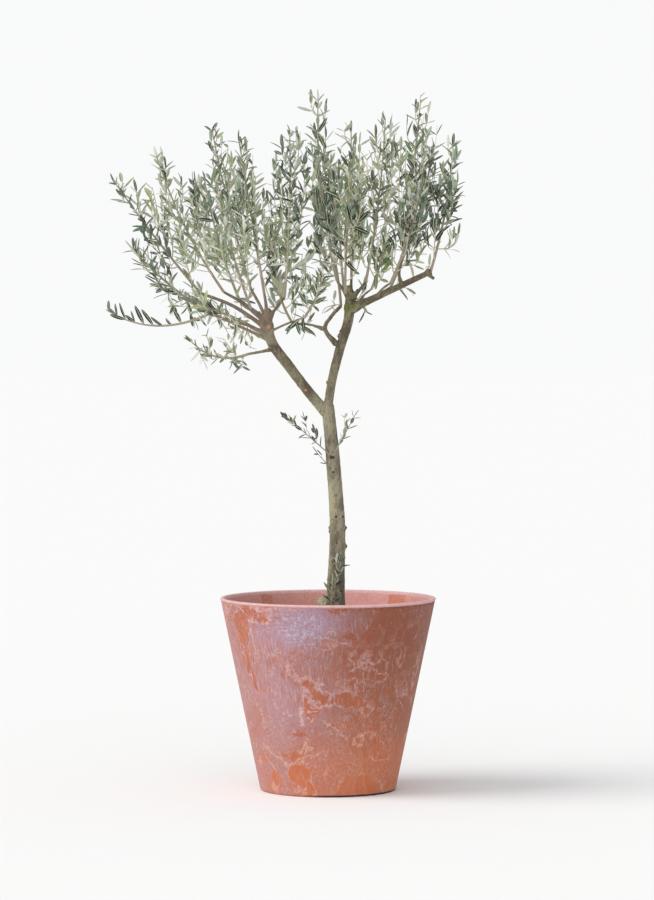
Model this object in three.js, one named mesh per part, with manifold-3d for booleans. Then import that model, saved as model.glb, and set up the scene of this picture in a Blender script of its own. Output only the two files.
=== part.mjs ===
// A young olive tree on a bare stem in a tapered terracotta-coloured pot.
// Millimetres, +Z up. The origin is the middle of the pot's flat underside, and -Y is the front.
// The trunk forks once, each arm ends in a pruned head, and the crown grows from the heads as
// upright shoots with paired leaves. Every limb and every mass of foliage is a solid of its own.
import * as THREE from "three";
import { mergeVertices } from "three/addons/utils/BufferGeometryUtils.js";
import Module from "manifold-3d";

const wasm = await Module();
wasm.setup();

const GAP = 0.3; // between two pieces that meet
const vec = (p) => new THREE.Vector3(...p);
const UP = vec([0, 0, 1]);

// ---- finishes ----
const finish = (color, roughness) => new THREE.MeshStandardMaterial({ color, roughness, metalness: 0 });
const TERRACOTTA = finish("#b8745a", 0.6);
const SOIL = finish("#3b2a20", 0.95);
const BARK = finish("#7b745c", 0.85);
const OLIVE_LEAF = finish("#6f7f66", 0.55);

const tree = new THREE.Group();

function addMesh(name, geometry, material) {
  const mesh = new THREE.Mesh(geometry, material);
  mesh.name = name;
  tree.add(mesh);
  return mesh;
}

// ---- between three.js and solids ----
function solidOf(geometry) {
  const bare = geometry.clone();
  bare.deleteAttribute("normal");
  bare.deleteAttribute("uv");
  const merged = mergeVertices(bare, 1e-3);
  return new wasm.Manifold(
    new wasm.Mesh({
      numProp: 3,
      vertProperties: merged.attributes.position.array,
      triVerts: new Uint32Array(merged.index.array),
    }),
  );
}

function geometryOf(solid) {
  const mesh = solid.getMesh();
  return new THREE.BufferGeometry()
    .setAttribute("position", new THREE.BufferAttribute(mesh.vertProperties, 3))
    .setIndex(new THREE.BufferAttribute(mesh.triVerts, 1));
}

// The one body that is kept where a cut leaves scraps.
function largestBody(solid) {
  return solid.decompose().reduce((a, b) => (b.volume() > a.volume() ? b : a));
}

// A tapering limb along a curve: a cylinder whose rings are set out on the curve.
// radiusAt gives the radius at t from 0 to 1, and extra fattens it and makes it longer at its tip.
function limbSolid(curve, radiusAt, sides, steps, extra = 0) {
  const geometry = new THREE.CylinderGeometry(1, 1, 1, sides, steps);
  const frames = curve.computeFrenetFrames(steps, false);
  const place = geometry.attributes.position;
  for (let i = 0; i < place.count; i++) {
    const step = Math.round((place.getY(i) + 0.5) * steps);
    const r = radiusAt(step / steps) + extra;
    const end = step === steps ? extra : 0;
    const point = curve
      .getPointAt(step / steps)
      .addScaledVector(frames.tangents[step], end)
      .addScaledVector(frames.normals[step], r * place.getX(i))
      .addScaledVector(frames.binormals[step], -r * place.getZ(i));
    place.setXYZ(i, point.x, point.y, point.z);
  }
  return solidOf(geometry);
}

// ---- pot ----
const POT = {
  height: 385, rimRadius: 215, footRadius: 135, wall: 9, base: 12,
  footRound: 6, lipRound: 3, sides: 48,
};
const slope = (POT.rimRadius - POT.footRadius) / POT.height;
const outerRadiusAt = (z) => POT.footRadius + slope * z;
const innerRadiusAt = (z) => outerRadiusAt(z) - POT.wall;

function potGeometry() {
  const { height, base, footRound, lipRound } = POT;
  const profile = [
    [0, 0],
    [outerRadiusAt(0) - footRound, 0],
    [outerRadiusAt(footRound / 4) - footRound / 4, footRound / 4],
    [outerRadiusAt(footRound), footRound],
    [outerRadiusAt(height - lipRound), height - lipRound],
    [outerRadiusAt(height) - lipRound / 3, height - lipRound / 3],
    [outerRadiusAt(height) - lipRound, height],
    [innerRadiusAt(height) + lipRound, height],
    [innerRadiusAt(height - lipRound), height - lipRound],
    [innerRadiusAt(base), base],
    [0, base],
  ];
  const points = profile.map(([r, z]) => new THREE.Vector2(r, z));
  return new THREE.LatheGeometry(points, POT.sides).rotateX(Math.PI / 2);
}
addMesh("pot", potGeometry(), TERRACOTTA);

// ---- soil ----
const SOIL_TOP = POT.height - 42;

function soilGeometry() {
  const low = POT.base + GAP;
  const points = [
    [0, low],
    [innerRadiusAt(low) - GAP, low],
    [innerRadiusAt(SOIL_TOP) - GAP, SOIL_TOP],
    [0, SOIL_TOP],
  ].map(([r, z]) => new THREE.Vector2(r, z));
  return new THREE.LatheGeometry(points, POT.sides).rotateX(Math.PI / 2);
}
addMesh("soil", soilGeometry(), SOIL);

// ---- trunk and boughs ----
// Each limb: its parent, points on its line, its radius at root and tip, and how many sides it has.
// Its root starts inside the parent and is cut off a gap away from the parent's bark.
const GROUND = SOIL_TOP + GAP; // the trunk's flat cut
const SUNK = 12; // how far its line runs on below the cut
const FORK_Z = 768;
const FLARE = { radius: 8, height: 20 };
const BURL = { centre: [-3, -4, GROUND + 22], radii: [21, 20, 25] };

const LIMBS = {
  trunk: {
    line: [[13, 0, GROUND - SUNK], [16, 0, 420], [19, 0, 520], [12, 0, 635], [0, 0, FORK_Z]],
    root: 18.4, tip: 12.6, sides: 12, steps: 14,
  },
  left_bough: {
    line: [[-1, 0, 750], [-33, -5, 788], [-75, -12, 843], [-113, -18, 897], [-122, -20, 945]],
    root: 10.6, tip: 10.4, sides: 10, steps: 8,
  },
  right_bough: {
    line: [[0, 0, FORK_Z - 6], [8, 3, 816], [22, 10, 875], [40, 17, 935], [46, 20, 990]],
    root: 9, tip: 10.4, sides: 10, steps: 8,
  },
  right_limb: { line: [[46, 18, 960], [112, 8, 991], [204, -5, 1034]], root: 8, tip: 5.5 },
  right_riser: { line: [[146, 3, 1009], [142, 20, 1030], [148, 34, 1058]], root: 3.4, tip: 2.6 },
  right_spur_front: { line: [[96, 9, 984], [108, -22, 1000], [124, -52, 1012]], root: 3, tip: 2.2 },
  right_spur_back: { line: [[78, 12, 976], [102, 44, 990], [126, 76, 1004]], root: 3, tip: 2.2 },
  right_spur_low: { line: [[60, 16, 967], [70, -30, 986], [86, -74, 1000]], root: 3, tip: 2.2 },
  left_limb_upper: { line: [[-122, -20, 922], [-189, 0, 966], [-255, 20, 992]], root: 4.6, tip: 3 },
  left_limb_inner: { line: [[-122, -20, 938], [-165, -46, 970], [-206, -70, 994]], root: 4.2, tip: 2.8 },
  left_limb_outer: { line: [[-120, -18, 900], [-196, -10, 935], [-262, -2, 967]], root: 3.4, tip: 2.6 },
  left_limb_low: { line: [[-104, -17, 882], [-130, -24, 876], [-158, -34, 871]], root: 3.6, tip: 2.6 },
  left_limb_trail: { line: [[-114, -18, 912], [-186, -60, 936], [-236, -84, 950]], root: 2.8, tip: 2.2 },
  left_spur_front: { line: [[-118, -20, 906], [-142, -58, 922], [-164, -88, 934]], root: 2.8, tip: 2.2 },
  left_spur_back: { line: [[-117, -18, 906], [-146, 30, 918], [-170, 64, 934]], root: 2.8, tip: 2.2 },
  left_limb_back: { line: [[-121, -20, 930], [-148, 32, 952], [-178, 76, 978]], root: 3.8, tip: 2.8 },
  left_limb_front: { line: [[-122, -20, 926], [-135, -60, 942], [-152, -98, 962]], root: 3.8, tip: 2.8 },
  left_shoot_tall: { line: [[-122, -20, 936], [-135, 4, 966], [-154, 22, 1000]], root: 3.8, tip: 2.8 },
  left_shoot_middle: { line: [[-122, -20, 940], [-123, -18, 966], [-127, -12, 992]], root: 3.8, tip: 2.8 },
  left_shoot_right: { line: [[-121, -20, 936], [-103, -35, 962], [-86, -52, 984]], root: 3.8, tip: 2.8 },
  left_shoot_cross: { line: [[-118, -20, 914], [-84, -48, 930], [-46, -78, 944]], root: 2.6, tip: 2 },
  inner_limb: { line: [[17, 6, 889], [-6, 2, 921], [8, 18, 947], [26, 34, 966]], root: 5, tip: 3.4, steps: 6 },
  inner_limb_left: { line: [[-4, 2, 919], [-38, 24, 929], [-70, 52, 930]], root: 3.4, tip: 2.4 },
  right_shoot_tall: { line: [[45, 20, 974], [33, 17, 994], [18, 12, 1016]], root: 4, tip: 2.8 },
  right_shoot_middle: { line: [[46, 20, 984], [46, 29, 1002], [47, 40, 1020]], root: 4, tip: 2.8 },
  right_shoot_right: { line: [[46, 20, 980], [61, 0, 996], [75, -22, 1014]], root: 4, tip: 2.8 },
  right_limb_front: { line: [[45, 19, 970], [41, -22, 982], [34, -68, 992]], root: 4, tip: 2.8 },
  right_limb_back: { line: [[45, 20, 966], [41, 64, 984], [32, 106, 1000]], root: 4, tip: 2.8 },
};

function limbCurve({ line }) {
  return new THREE.CatmullRomCurve3(line.map(vec), false, "centripetal");
}

function limbRadius(name) {
  const { root, tip } = LIMBS[name];
  const flared = name === "trunk" ? FLARE.radius : 0;
  return (t) => {
    const height = t * (FORK_Z - GROUND + SUNK) - SUNK;
    return root + (tip - root) * t + flared * Math.exp(-Math.max(0, height) / FLARE.height);
  };
}

const curves = {};
const bodies = {}; // each limb's solid
const guards = {}; // the same, fattened by the gap

// The rounded swelling at the foot of the trunk, on its left.
function burlSolid(extra) {
  const ball = new THREE.SphereGeometry(1, 12, 8).scale(...BURL.radii.map((r) => r + extra));
  return solidOf(ball.translate(...BURL.centre));
}
const belowGround = solidOf(new THREE.BoxGeometry(200, 200, 100).translate(0, 0, GROUND - 50));

for (const [name, limb] of Object.entries(LIMBS)) {
  const curve = limbCurve(limb);
  const { sides = 6, steps = 3 } = limb;
  let body = limbSolid(curve, limbRadius(name), sides, steps);
  let guard = limbSolid(curve, limbRadius(name), sides, steps, GAP);
  if (name === "trunk") {
    body = body.add(burlSolid(0)).subtract(belowGround);
    guard = guard.add(burlSolid(GAP));
  }
  for (const other of Object.values(guards)) body = body.subtract(other);
  curves[name] = curve;
  bodies[name] = largestBody(body);
  guards[name] = guard;
  addMesh(name, geometryOf(bodies[name]), BARK);
}

// ---- foliage ----
// Each mass: the limb it grows from, the furthest point it reaches, how far it spreads from its
// leader, how far the leader follows its limb before it turns, how much the leader sags, and the
// size of its leaves, and the share of its shoots that hang. A bare one has leaves on its leader
// only. A sprout leaves the trunk partway up, at its own root point, and has small leaves.
const MASSES = {
  far_left_spray: {
    limb: "left_limb_trail", tip: [-456, -110, 972], breadth: 44,
    follow: 0.1, sag: 62, leaf: 0.8, bare: true,
  },
  low_left_spray: {
    limb: "left_limb_low", tip: [-286, -70, 912], breadth: 60, sag: 38, leaf: 0.75, hang: 0.35,
  },
  left_apron: {
    limb: "left_spur_front", tip: [-296, -142, 986], breadth: 68, follow: 0.3, leaf: 0.9, hang: 0.35,
  },
  left_apron_back: {
    limb: "left_spur_back", tip: [-366, 104, 1014], breadth: 70, follow: 0.3, leaf: 0.9, hang: 0.2,
  },
  left_edge: { limb: "left_limb_outer", tip: [-408, 6, 1102], breadth: 70, follow: 0.42, hang: 0.15 },
  left_wing: { limb: "left_limb_upper", tip: [-442, 30, 1236], breadth: 60, follow: 0.1 },
  left_front: { limb: "left_limb_inner", tip: [-346, -84, 1290], breadth: 74, follow: 0.3 },
  left_crest: { limb: "left_shoot_tall", tip: [-238, 62, 1348], breadth: 74 },
  left_hollow: { limb: "left_shoot_middle", tip: [-182, -26, 1324], breadth: 74 },
  middle_front: { limb: "left_shoot_right", tip: [-76, -74, 1334], breadth: 86, follow: 0.1 },
  middle_spire: { limb: "right_shoot_tall", tip: [-18, 12, 1408], breadth: 58, follow: 0.3 },
  right_hollow: { limb: "right_shoot_middle", tip: [46, 76, 1348], breadth: 74, follow: 0.1 },
  right_front: { limb: "right_shoot_right", tip: [114, -64, 1366], breadth: 76 },
  right_crest: { limb: "right_riser", tip: [188, 44, 1408], breadth: 76 },
  right_edge: { limb: "right_limb", tip: [250, -10, 1318], breadth: 54, follow: 0.15 },
  right_low_front: { limb: "right_spur_front", tip: [190, -128, 1226], breadth: 72, follow: 0.3 },
  right_apron: { limb: "right_spur_low", tip: [120, -150, 1130], breadth: 66, follow: 0.3 },
  right_low_back: { limb: "right_spur_back", tip: [216, 118, 1306], breadth: 76, follow: 0.3 },
  low_middle_front: { limb: "left_shoot_cross", tip: [-6, -150, 1050], breadth: 70, follow: 0.3 },
  low_middle_back: { limb: "inner_limb_left", tip: [-104, 150, 1160], breadth: 78, follow: 0.4 },
  heart: { limb: "inner_limb", tip: [-34, 24, 1216], breadth: 76 },
  front_left: { limb: "left_limb_front", tip: [-224, -206, 1240], breadth: 84, follow: 0.3 },
  front_right: { limb: "right_limb_front", tip: [52, -226, 1266], breadth: 88, follow: 0.3 },
  back_left: { limb: "left_limb_back", tip: [-256, 200, 1250], breadth: 88, follow: 0.3 },
  back_right: { limb: "right_limb_back", tip: [24, 236, 1276], breadth: 92, follow: 0.3 },
  sprout_left: { limb: "trunk", root: [4, -10, 670], tip: [-98, -40, 760], breadth: 32, leaf: 0.5 },
  sprout_right: { limb: "trunk", root: [9, -10, 667], tip: [62, -36, 764], breadth: 32, leaf: 0.5 },
  sprout_low: { limb: "trunk", root: [6, -4, 642], tip: [-34, -14, 688], breadth: 24, leaf: 0.5 },
  sprout_foot: { limb: "trunk", root: [4, -16, 366], tip: [32, -42, 484], breadth: 26, leaf: 0.5 },
};
const FOLLOW = 0.2; // unless a mass says otherwise; a sprout has none

const LEAF = { length: 58, width: 19, thick: 2.4, widest: 0.45, sink: 1.4, lean: 0.75, step: 66 };
const SHOOT = {
  step: 98, least: 2, first: 0, last: 0.82, turn: 2.4, fall: 0.95,
  side: 0.5, rise: 1, lowest: -0.3, root: 2.3, tip: 1.2,
};
const LONG = { each: 3, below: 0.52, times: 2 }; // the upright shoots that make the crown's many tops
const LEADER = { root: 2.9, tip: 1.3, steps: 5 };
const CLEAR = 0.97; // a mass keeps this share of the way to its neighbours
const POINTED = 0.6; // a mass narrows to its furthest point by this share
const FULL_TURN = 2 * Math.PI;

// A seeded stream of numbers from 0 to 1.
function draws(seed) {
  let state = seed;
  return () => {
    state = (state * 1664525 + 1013904223) % 2 ** 32;
    return state / 2 ** 32;
  };
}

// The leader stops short of the mass's furthest point by the leaf at its end.
function leaderOf({ limb, root, tip, follow = root ? 0 : FOLLOW, sag = 0, leaf = 1 }) {
  const start = root ? vec(root) : curves[limb].getPointAt(1);
  const ahead = curves[limb].getTangentAt(1);
  const reach = vec(tip).sub(start);
  const bend = start
    .clone()
    .addScaledVector(reach, 0.5 - follow / 2)
    .addScaledVector(ahead, follow * 0.5 * reach.length());
  bend.z -= sag;
  const last = vec(tip).sub(bend).normalize();
  return new THREE.QuadraticBezierCurve3(start, bend, vec(tip).addScaledVector(last, -0.94 * leaf * LEAF.length));
}

const leaders = Object.fromEntries(Object.entries(MASSES).map(([n, m]) => [n, leaderOf(m)]));
const AXIS_STEPS = 8;
const axes = Object.fromEntries(
  Object.entries(MASSES).map(([n, m]) => [n, [...leaders[n].getSpacedPoints(AXIS_STEPS), vec(m.tip)]]),
);
const limbAxes = Object.keys(LIMBS).map((name) => ({
  points: curves[name].getSpacedPoints(AXIS_STEPS),
  radius: Math.max(limbRadius(name)(0.1), LIMBS[name].tip),
}));

function distanceTo(points, p) {
  const nearest = new THREE.Vector3();
  let least = Infinity;
  for (let i = 1; i < points.length; i++) {
    new THREE.Line3(points[i - 1], points[i]).closestPointToPoint(p, true, nearest);
    least = Math.min(least, nearest.distanceTo(p));
  }
  return least;
}

// True if a point is in the mass's own space: within its breadth and its pointed end, nearer to
// its axis than to any other mass's, and off every limb.
function inOwnSpace(name, p, margin) {
  const axis = axes[name];
  const own = distanceTo(axis, p) / MASSES[name].breadth;
  const [last, end] = axis.slice(-2);
  const back = end.clone().sub(p);
  const far = back.dot(end.clone().sub(last).normalize());
  if (own > 1 || far < POINTED * Math.sqrt(Math.max(0, back.lengthSq() - far * far))) return false;
  for (const other of Object.keys(MASSES)) {
    if (other === name) continue;
    const away = (distanceTo(axes[other], p) - margin) / MASSES[other].breadth;
    if (own > CLEAR * away) return false;
  }
  return limbAxes.every(({ points, radius }) => distanceTo(points, p) > radius + margin);
}

// A direction square to the axis, turned round it.
function sideways(axis, turn) {
  const across = new THREE.Vector3().crossVectors(axis, Math.abs(axis.z) > 0.9 ? vec([1, 0, 0]) : UP).normalize();
  return across.applyAxisAngle(axis, turn);
}

// A shoot that leaves its parent sideways and curves up. The lowest ones spread and droop.
function shootCurve(start, along, side, length, lift, rise) {
  const out = start.clone().addScaledVector(side, SHOOT.side * (2 - lift) * length);
  const bend = out.clone().addScaledVector(along, 0.1 * length);
  const end = out.addScaledVector(along, 0.5 * rise * length).addScaledVector(UP, 0.5 * rise * length);
  return new THREE.QuadraticBezierCurve3(start, bend, end);
}

// The side shoots of a mass, shorter towards its tip. One that would leave the mass's space is
// tried again shorter, and is then skipped.
function shootsOf(name) {
  const { breadth, root, bare, hang } = MASSES[name];
  const leader = leaders[name];
  const draw = draws(1000 + 77 * Object.keys(MASSES).indexOf(name));
  const spread = Math.round((leader.getLength() * (SHOOT.last - SHOOT.first)) / SHOOT.step);
  const count = bare ? 0 : Math.max(root ? 2 : SHOOT.least, spread);
  const made = [];
  for (let i = 0; i < count; i++) {
    const t = SHOOT.first + ((SHOOT.last - SHOOT.first) * (i + draw() / 2)) / count;
    const start = leader.getPointAt(t);
    const along = leader.getTangentAt(t);
    const side = sideways(along, SHOOT.turn * i + draw());
    let length = breadth * (1.25 - SHOOT.fall * t) * (0.75 + 0.5 * draw());
    const long = !root && i % LONG.each === 1 && t < LONG.below;
    const lift = long || root ? 1 : Math.min(1, SHOOT.lowest + 5 * t);
    const rise = SHOOT.rise * lift * (long ? LONG.times : 1) * (hang && draw() < hang ? -1 : 1);
    for (let tries = 0; tries < 4; tries++, length *= 0.76) {
      const shoot = shootCurve(start, along, side, length, lift, rise);
      if (!shoot.getSpacedPoints(4).slice(1).every((p) => inOwnSpace(name, p, 3))) continue;
      made.push(shoot);
      break;
    }
  }
  return made;
}

// A leaf is a long flat octahedron, its root sunk in the shoot.
function leafPlace(root, direction, face, size) {
  const length = size * LEAF.length;
  const across = new THREE.Vector3().crossVectors(face, direction).normalize();
  const normal = new THREE.Vector3().crossVectors(direction, across).normalize();
  return { root, direction, across, normal, length, size };
}

function leafPoints({ root, direction, across, length, size }) {
  const middle = root.clone().addScaledVector(direction, length * LEAF.widest);
  return [
    root.clone().addScaledVector(direction, length),
    middle.clone().addScaledVector(across, (size * LEAF.width) / 2),
    middle.clone().addScaledVector(across, (-size * LEAF.width) / 2),
  ];
}

function leafSolid({ root, direction, across, normal, length, size }) {
  const geometry = new THREE.OctahedronGeometry(1);
  const place = geometry.attributes.position;
  for (let i = 0; i < place.count; i++) {
    const x = place.getX(i);
    const along = x > 0.5 ? length : x < -0.5 ? -LEAF.sink : length * LEAF.widest;
    const point = root
      .clone()
      .addScaledVector(direction, along)
      .addScaledVector(across, (place.getY(i) * size * LEAF.width) / 2)
      .addScaledVector(normal, (place.getZ(i) * LEAF.thick) / 2);
    place.setXYZ(i, point.x, point.y, point.z);
  }
  return solidOf(geometry);
}

// Leaves in opposite pairs along a curve, each pair a quarter turn from the last, and one at the end.
function leavesAlong(name, curve, draw) {
  const { leaf = 1 } = MASSES[name];
  const pairs = Math.max(1, Math.round(curve.getLength() / (leaf * LEAF.step)));
  const found = [];
  for (let k = 1; k <= pairs; k++) {
    const t = k / (pairs + 0.35);
    const root = curve.getPointAt(t);
    const along = curve.getTangentAt(t);
    const turn = (k * FULL_TURN) / 4 + draw();
    for (const half of [0, FULL_TURN / 2]) {
      const side = sideways(along, turn + half);
      const lean = LEAF.lean * (0.8 + 0.4 * draw());
      const direction = along.clone().multiplyScalar(Math.cos(lean)).addScaledVector(side, Math.sin(lean));
      found.push(leafPlace(root, direction.normalize(), along, leaf * (0.85 + 0.3 * draw())));
    }
  }
  const last = curve.getTangentAt(1);
  found.push(leafPlace(curve.getPointAt(0.97), last, sideways(last, draw() * FULL_TURN), 0.9 * leaf));
  return found.filter((place) => leafPoints(place).every((p) => inOwnSpace(name, p, 2)));
}

const taper = (root, tip) => (t) => root + (tip - root) * t;

function massSolid(name) {
  const { limb, leaf = 1 } = MASSES[name];
  const thin = leaf <= 0.5 ? 0.6 : 1;
  const draw = draws(9000 + 131 * Object.keys(MASSES).indexOf(name));
  const leader = leaders[name];
  let solid = limbSolid(leader, taper(thin * LEADER.root, thin * LEADER.tip), 3, LEADER.steps);
  const grown = [leader];
  for (const shoot of shootsOf(name)) {
    solid = solid.add(limbSolid(shoot, taper(thin * SHOOT.root, thin * SHOOT.tip), 3, 2));
    grown.push(shoot);
  }
  for (const curve of grown)
    for (const place of leavesAlong(name, curve, draw)) solid = solid.add(leafSolid(place));
  return largestBody(solid.subtract(guards[limb]));
}

for (const name of Object.keys(MASSES)) addMesh(name, geometryOf(massSolid(name)), OLIVE_LEAF);

export default tree;
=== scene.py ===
import math

import bmesh
import bpy
import numpy as np
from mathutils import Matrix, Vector, noise


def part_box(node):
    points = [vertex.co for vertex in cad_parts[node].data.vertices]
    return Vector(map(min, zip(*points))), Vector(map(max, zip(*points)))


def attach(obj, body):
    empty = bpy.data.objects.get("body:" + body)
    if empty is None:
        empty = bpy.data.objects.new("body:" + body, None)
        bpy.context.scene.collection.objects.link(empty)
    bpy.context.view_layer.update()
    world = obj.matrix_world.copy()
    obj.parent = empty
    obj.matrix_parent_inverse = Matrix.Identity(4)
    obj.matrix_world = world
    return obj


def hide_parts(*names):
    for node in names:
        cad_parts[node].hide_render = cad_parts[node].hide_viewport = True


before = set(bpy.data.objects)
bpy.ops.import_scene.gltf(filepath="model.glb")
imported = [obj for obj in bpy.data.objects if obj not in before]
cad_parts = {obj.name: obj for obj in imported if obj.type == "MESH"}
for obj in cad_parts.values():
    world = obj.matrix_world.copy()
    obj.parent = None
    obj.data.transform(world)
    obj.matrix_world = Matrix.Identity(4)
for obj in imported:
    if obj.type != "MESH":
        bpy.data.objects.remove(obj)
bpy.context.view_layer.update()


# ---- studio ----
# A plain white floor that runs on out of view, even white light from all round, one broad lamp from
# the upper left that lays the pot's soft shadow on the floor to its right, and a weaker, wider one
# from the front that lights the inside of the pot.
EYE = (-0.002, -8.0, 0.992)
LOOK_DOWN = 2.24  # degrees
LENS = 160.6
BACKDROP = (0.950, 0.953, 0.958, 1)
FLOOR_WHITE = 0.885
ROUND_LIGHT = 0.62
ROUND_TINT = (0.98, 0.99, 1, 1)
LAMP_TINT = (1.0, 0.985, 0.965)
# Each lamp: its power, then how wide it is, how high it stands and where it shines, in degrees.
LAMPS = {"key_lamp": (1.55, 38, 42, 11), "fill_lamp": (0.75, 80, 38, 66)}
FLOOR_HALF = 40.0


class Wire:
    """An output of a node. Sums and products on it add the Math nodes that work them out."""

    def __init__(self, nodes, socket):
        self.nodes = nodes
        self.socket = socket

    def math(self, operation, *values):
        return self.nodes.add("ShaderNodeMath", {"operation": operation}, dict(enumerate(values)))

    def __add__(self, other):
        return self.math("ADD", self, other)

    def __sub__(self, other):
        return self.math("SUBTRACT", self, other)

    def __rsub__(self, other):
        return self.math("SUBTRACT", other, self)

    def __mul__(self, other):
        return self.math("MULTIPLY", self, other)

    def __truediv__(self, other):
        return self.math("DIVIDE", self, other)

    def __rtruediv__(self, other):
        return self.math("DIVIDE", other, self)

    __radd__ = __add__
    __rmul__ = __mul__

    def at_least(self, low):
        return self.math("MAXIMUM", self, low)

    def at_most(self, high):
        return self.math("MINIMUM", self, high)

    def size(self):
        return self.math("ABSOLUTE", self)

    def root(self):
        return self.math("SQRT", self)

    def between(self, low, high):
        """From 0 at low to 1 at high, smoothly; low may be the greater."""
        ends = {"Value": self, "From Min": low, "From Max": high}
        return self.nodes.add("ShaderNodeMapRange", {"interpolation_type": "SMOOTHSTEP"}, ends)

    def output(self, name):
        return Wire(self.nodes, self.socket.node.outputs[name])


class Nodes:
    """The nodes of a material, a world or a Geometry Nodes group."""

    def __init__(self, tree):
        self.tree = tree
        tree.nodes.clear()

    def add(self, kind, settings, inputs, output=0):
        node = self.tree.nodes.new(kind)
        for name, value in settings.items():
            setattr(node, name, value)
        for name, value in inputs.items():
            if isinstance(value, Wire):
                self.tree.links.new(value.socket, node.inputs[name])
            else:
                node.inputs[name].default_value = value
        return Wire(self, node.outputs[output]) if node.outputs else node

    def place(self):
        return self.add("ShaderNodeTexCoord", {}, {}, "Object")

    def noise(self, at, scale, detail=2.0, roughness=0.5, distortion=0.0, output="Fac"):
        facts = {"Vector": at, "Scale": scale, "Detail": detail, "Roughness": roughness}
        return self.add("ShaderNodeTexNoise", {}, {**facts, "Distortion": distortion}, output)

    def vector(self, operation, *values):
        return self.add("ShaderNodeVectorMath", {"operation": operation}, dict(enumerate(values)))

    def mix(self, share, first, second, blend="MIX"):
        """From the first colour at share 0 to the second at share 1."""
        kind = {"data_type": "RGBA", "blend_type": blend}
        return self.add("ShaderNodeMix", kind, {0: share, 6: first, 7: second}, 2)

    def finish(self, colour, roughness, relief=None):
        """The surface itself. The relief is a height, the strength of its bump and its depth."""
        sockets = {"Base Color": colour, "Roughness": roughness}
        if relief:
            bump = dict(zip(("Height", "Strength", "Distance"), relief))
            sockets["Normal"] = self.add("ShaderNodeBump", {}, bump)
        shader = self.add("ShaderNodeBsdfPrincipled", {}, sockets)
        self.add("ShaderNodeOutputMaterial", {}, {"Surface": shader})


def paint(red, green, blue):
    """A colour of 0 to 255 as the linear values that the shaders take."""
    return (*(((c / 255 + 0.055) / 1.055) ** 2.4 for c in (red, green, blue)), 1)


studio = bpy.data.worlds.new("studio")
studio.use_nodes = True
light = Nodes(studio.node_tree)
seen = light.add("ShaderNodeLightPath", {}, {}, "Is Camera Ray")
seen_light = light.add("ShaderNodeBackground", {}, {"Color": BACKDROP})
cast_light = light.add("ShaderNodeBackground", {}, {"Color": ROUND_TINT, "Strength": ROUND_LIGHT})
both = light.add("ShaderNodeMixShader", {}, {0: seen, 1: cast_light, 2: seen_light})
light.add("ShaderNodeOutputWorld", {}, {"Surface": both})
bpy.context.scene.world = studio
bpy.context.scene.view_settings.view_transform = "Standard"

for name, (power, wide, rise, turn) in LAMPS.items():
    lamp = bpy.data.objects.new(name, bpy.data.lights.new(name, "SUN"))
    lamp.data.energy = power
    lamp.data.angle = math.radians(wide)
    lamp.data.color = LAMP_TINT
    rise, turn = math.radians(rise), math.radians(turn)
    shines = Vector((math.cos(rise) * math.cos(turn), math.cos(rise) * math.sin(turn), -math.sin(rise)))
    lamp.rotation_euler = shines.to_track_quat("-Z", "Y").to_euler()
    bpy.context.collection.objects.link(lamp)

camera_data = bpy.data.cameras.new("camera")
camera_data.lens = LENS
camera_data.sensor_width = 36
camera_data.clip_end = 200
camera = bpy.data.objects.new("camera", camera_data)
camera.location = EYE
camera.rotation_euler = (math.radians(90 - LOOK_DOWN), 0, 0)
bpy.context.collection.objects.link(camera)
bpy.context.scene.camera = camera


def new_material(name):
    material = bpy.data.materials.new(name)
    material.use_nodes = True
    return material, Nodes(material.node_tree)


def new_object(name, vertices, faces, materials):
    mesh = bpy.data.meshes.new(name)
    mesh.from_pydata(vertices, [], faces)
    for material in materials:
        mesh.materials.append(material)
    obj = bpy.data.objects.new(name, mesh)
    bpy.context.collection.objects.link(obj)
    return obj


floor_white, nodes = new_material("floor_white")
matt = nodes.add("ShaderNodeBsdfDiffuse", {}, {"Color": (FLOOR_WHITE,) * 3 + (1,)})
nodes.add("ShaderNodeOutputMaterial", {}, {"Surface": matt})
corners = [(x * FLOOR_HALF, y * FLOOR_HALF, 0) for x, y in ((-1, -1), (1, -1), (1, 1), (-1, 1))]
floor = new_object("floor", corners, [(0, 1, 2, 3)], [floor_white])


# ---- planter ----
# One round tapered tub with a flush rounded lip, moulded in a clay-coloured stone mix. The mix is
# swirled as it is poured, so a pale bloom lies over the orange body and breaks open in patches.
POT_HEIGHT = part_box("pot")[1].z
RIM_RADIUS = 0.215
FOOT_RADIUS = 0.135
WALL = 0.009
BASE = 0.012
FOOT_ROUND = 0.006
FLAT_FOOT = (0.06, 0.12)  # radii of two rings on the flat underside
LIP = {"high": 0.0028, "deep": 0.0047, "out": 0.0002, "groove": 0.0012}  # half height, half depth
LIP_ARC = (-58, 168)  # degrees, from the groove outside to the wall inside
POT_SEGMENTS = 256
POT_SLOPE = (RIM_RADIUS - FOOT_RADIUS) / POT_HEIGHT
MEAN_RADIUS = (RIM_RADIUS + FOOT_RADIUS) / 2


def wall_radius(z):
    return FOOT_RADIUS + POT_SLOPE * z


def arc(centre, across, up, start, end, steps):
    """Points on an ellipse, from one angle to another in degrees."""
    angles = np.radians(np.linspace(start, end, steps + 1))
    return [(centre[0] + across * math.cos(a), centre[1] + up * math.sin(a)) for a in angles]


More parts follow.
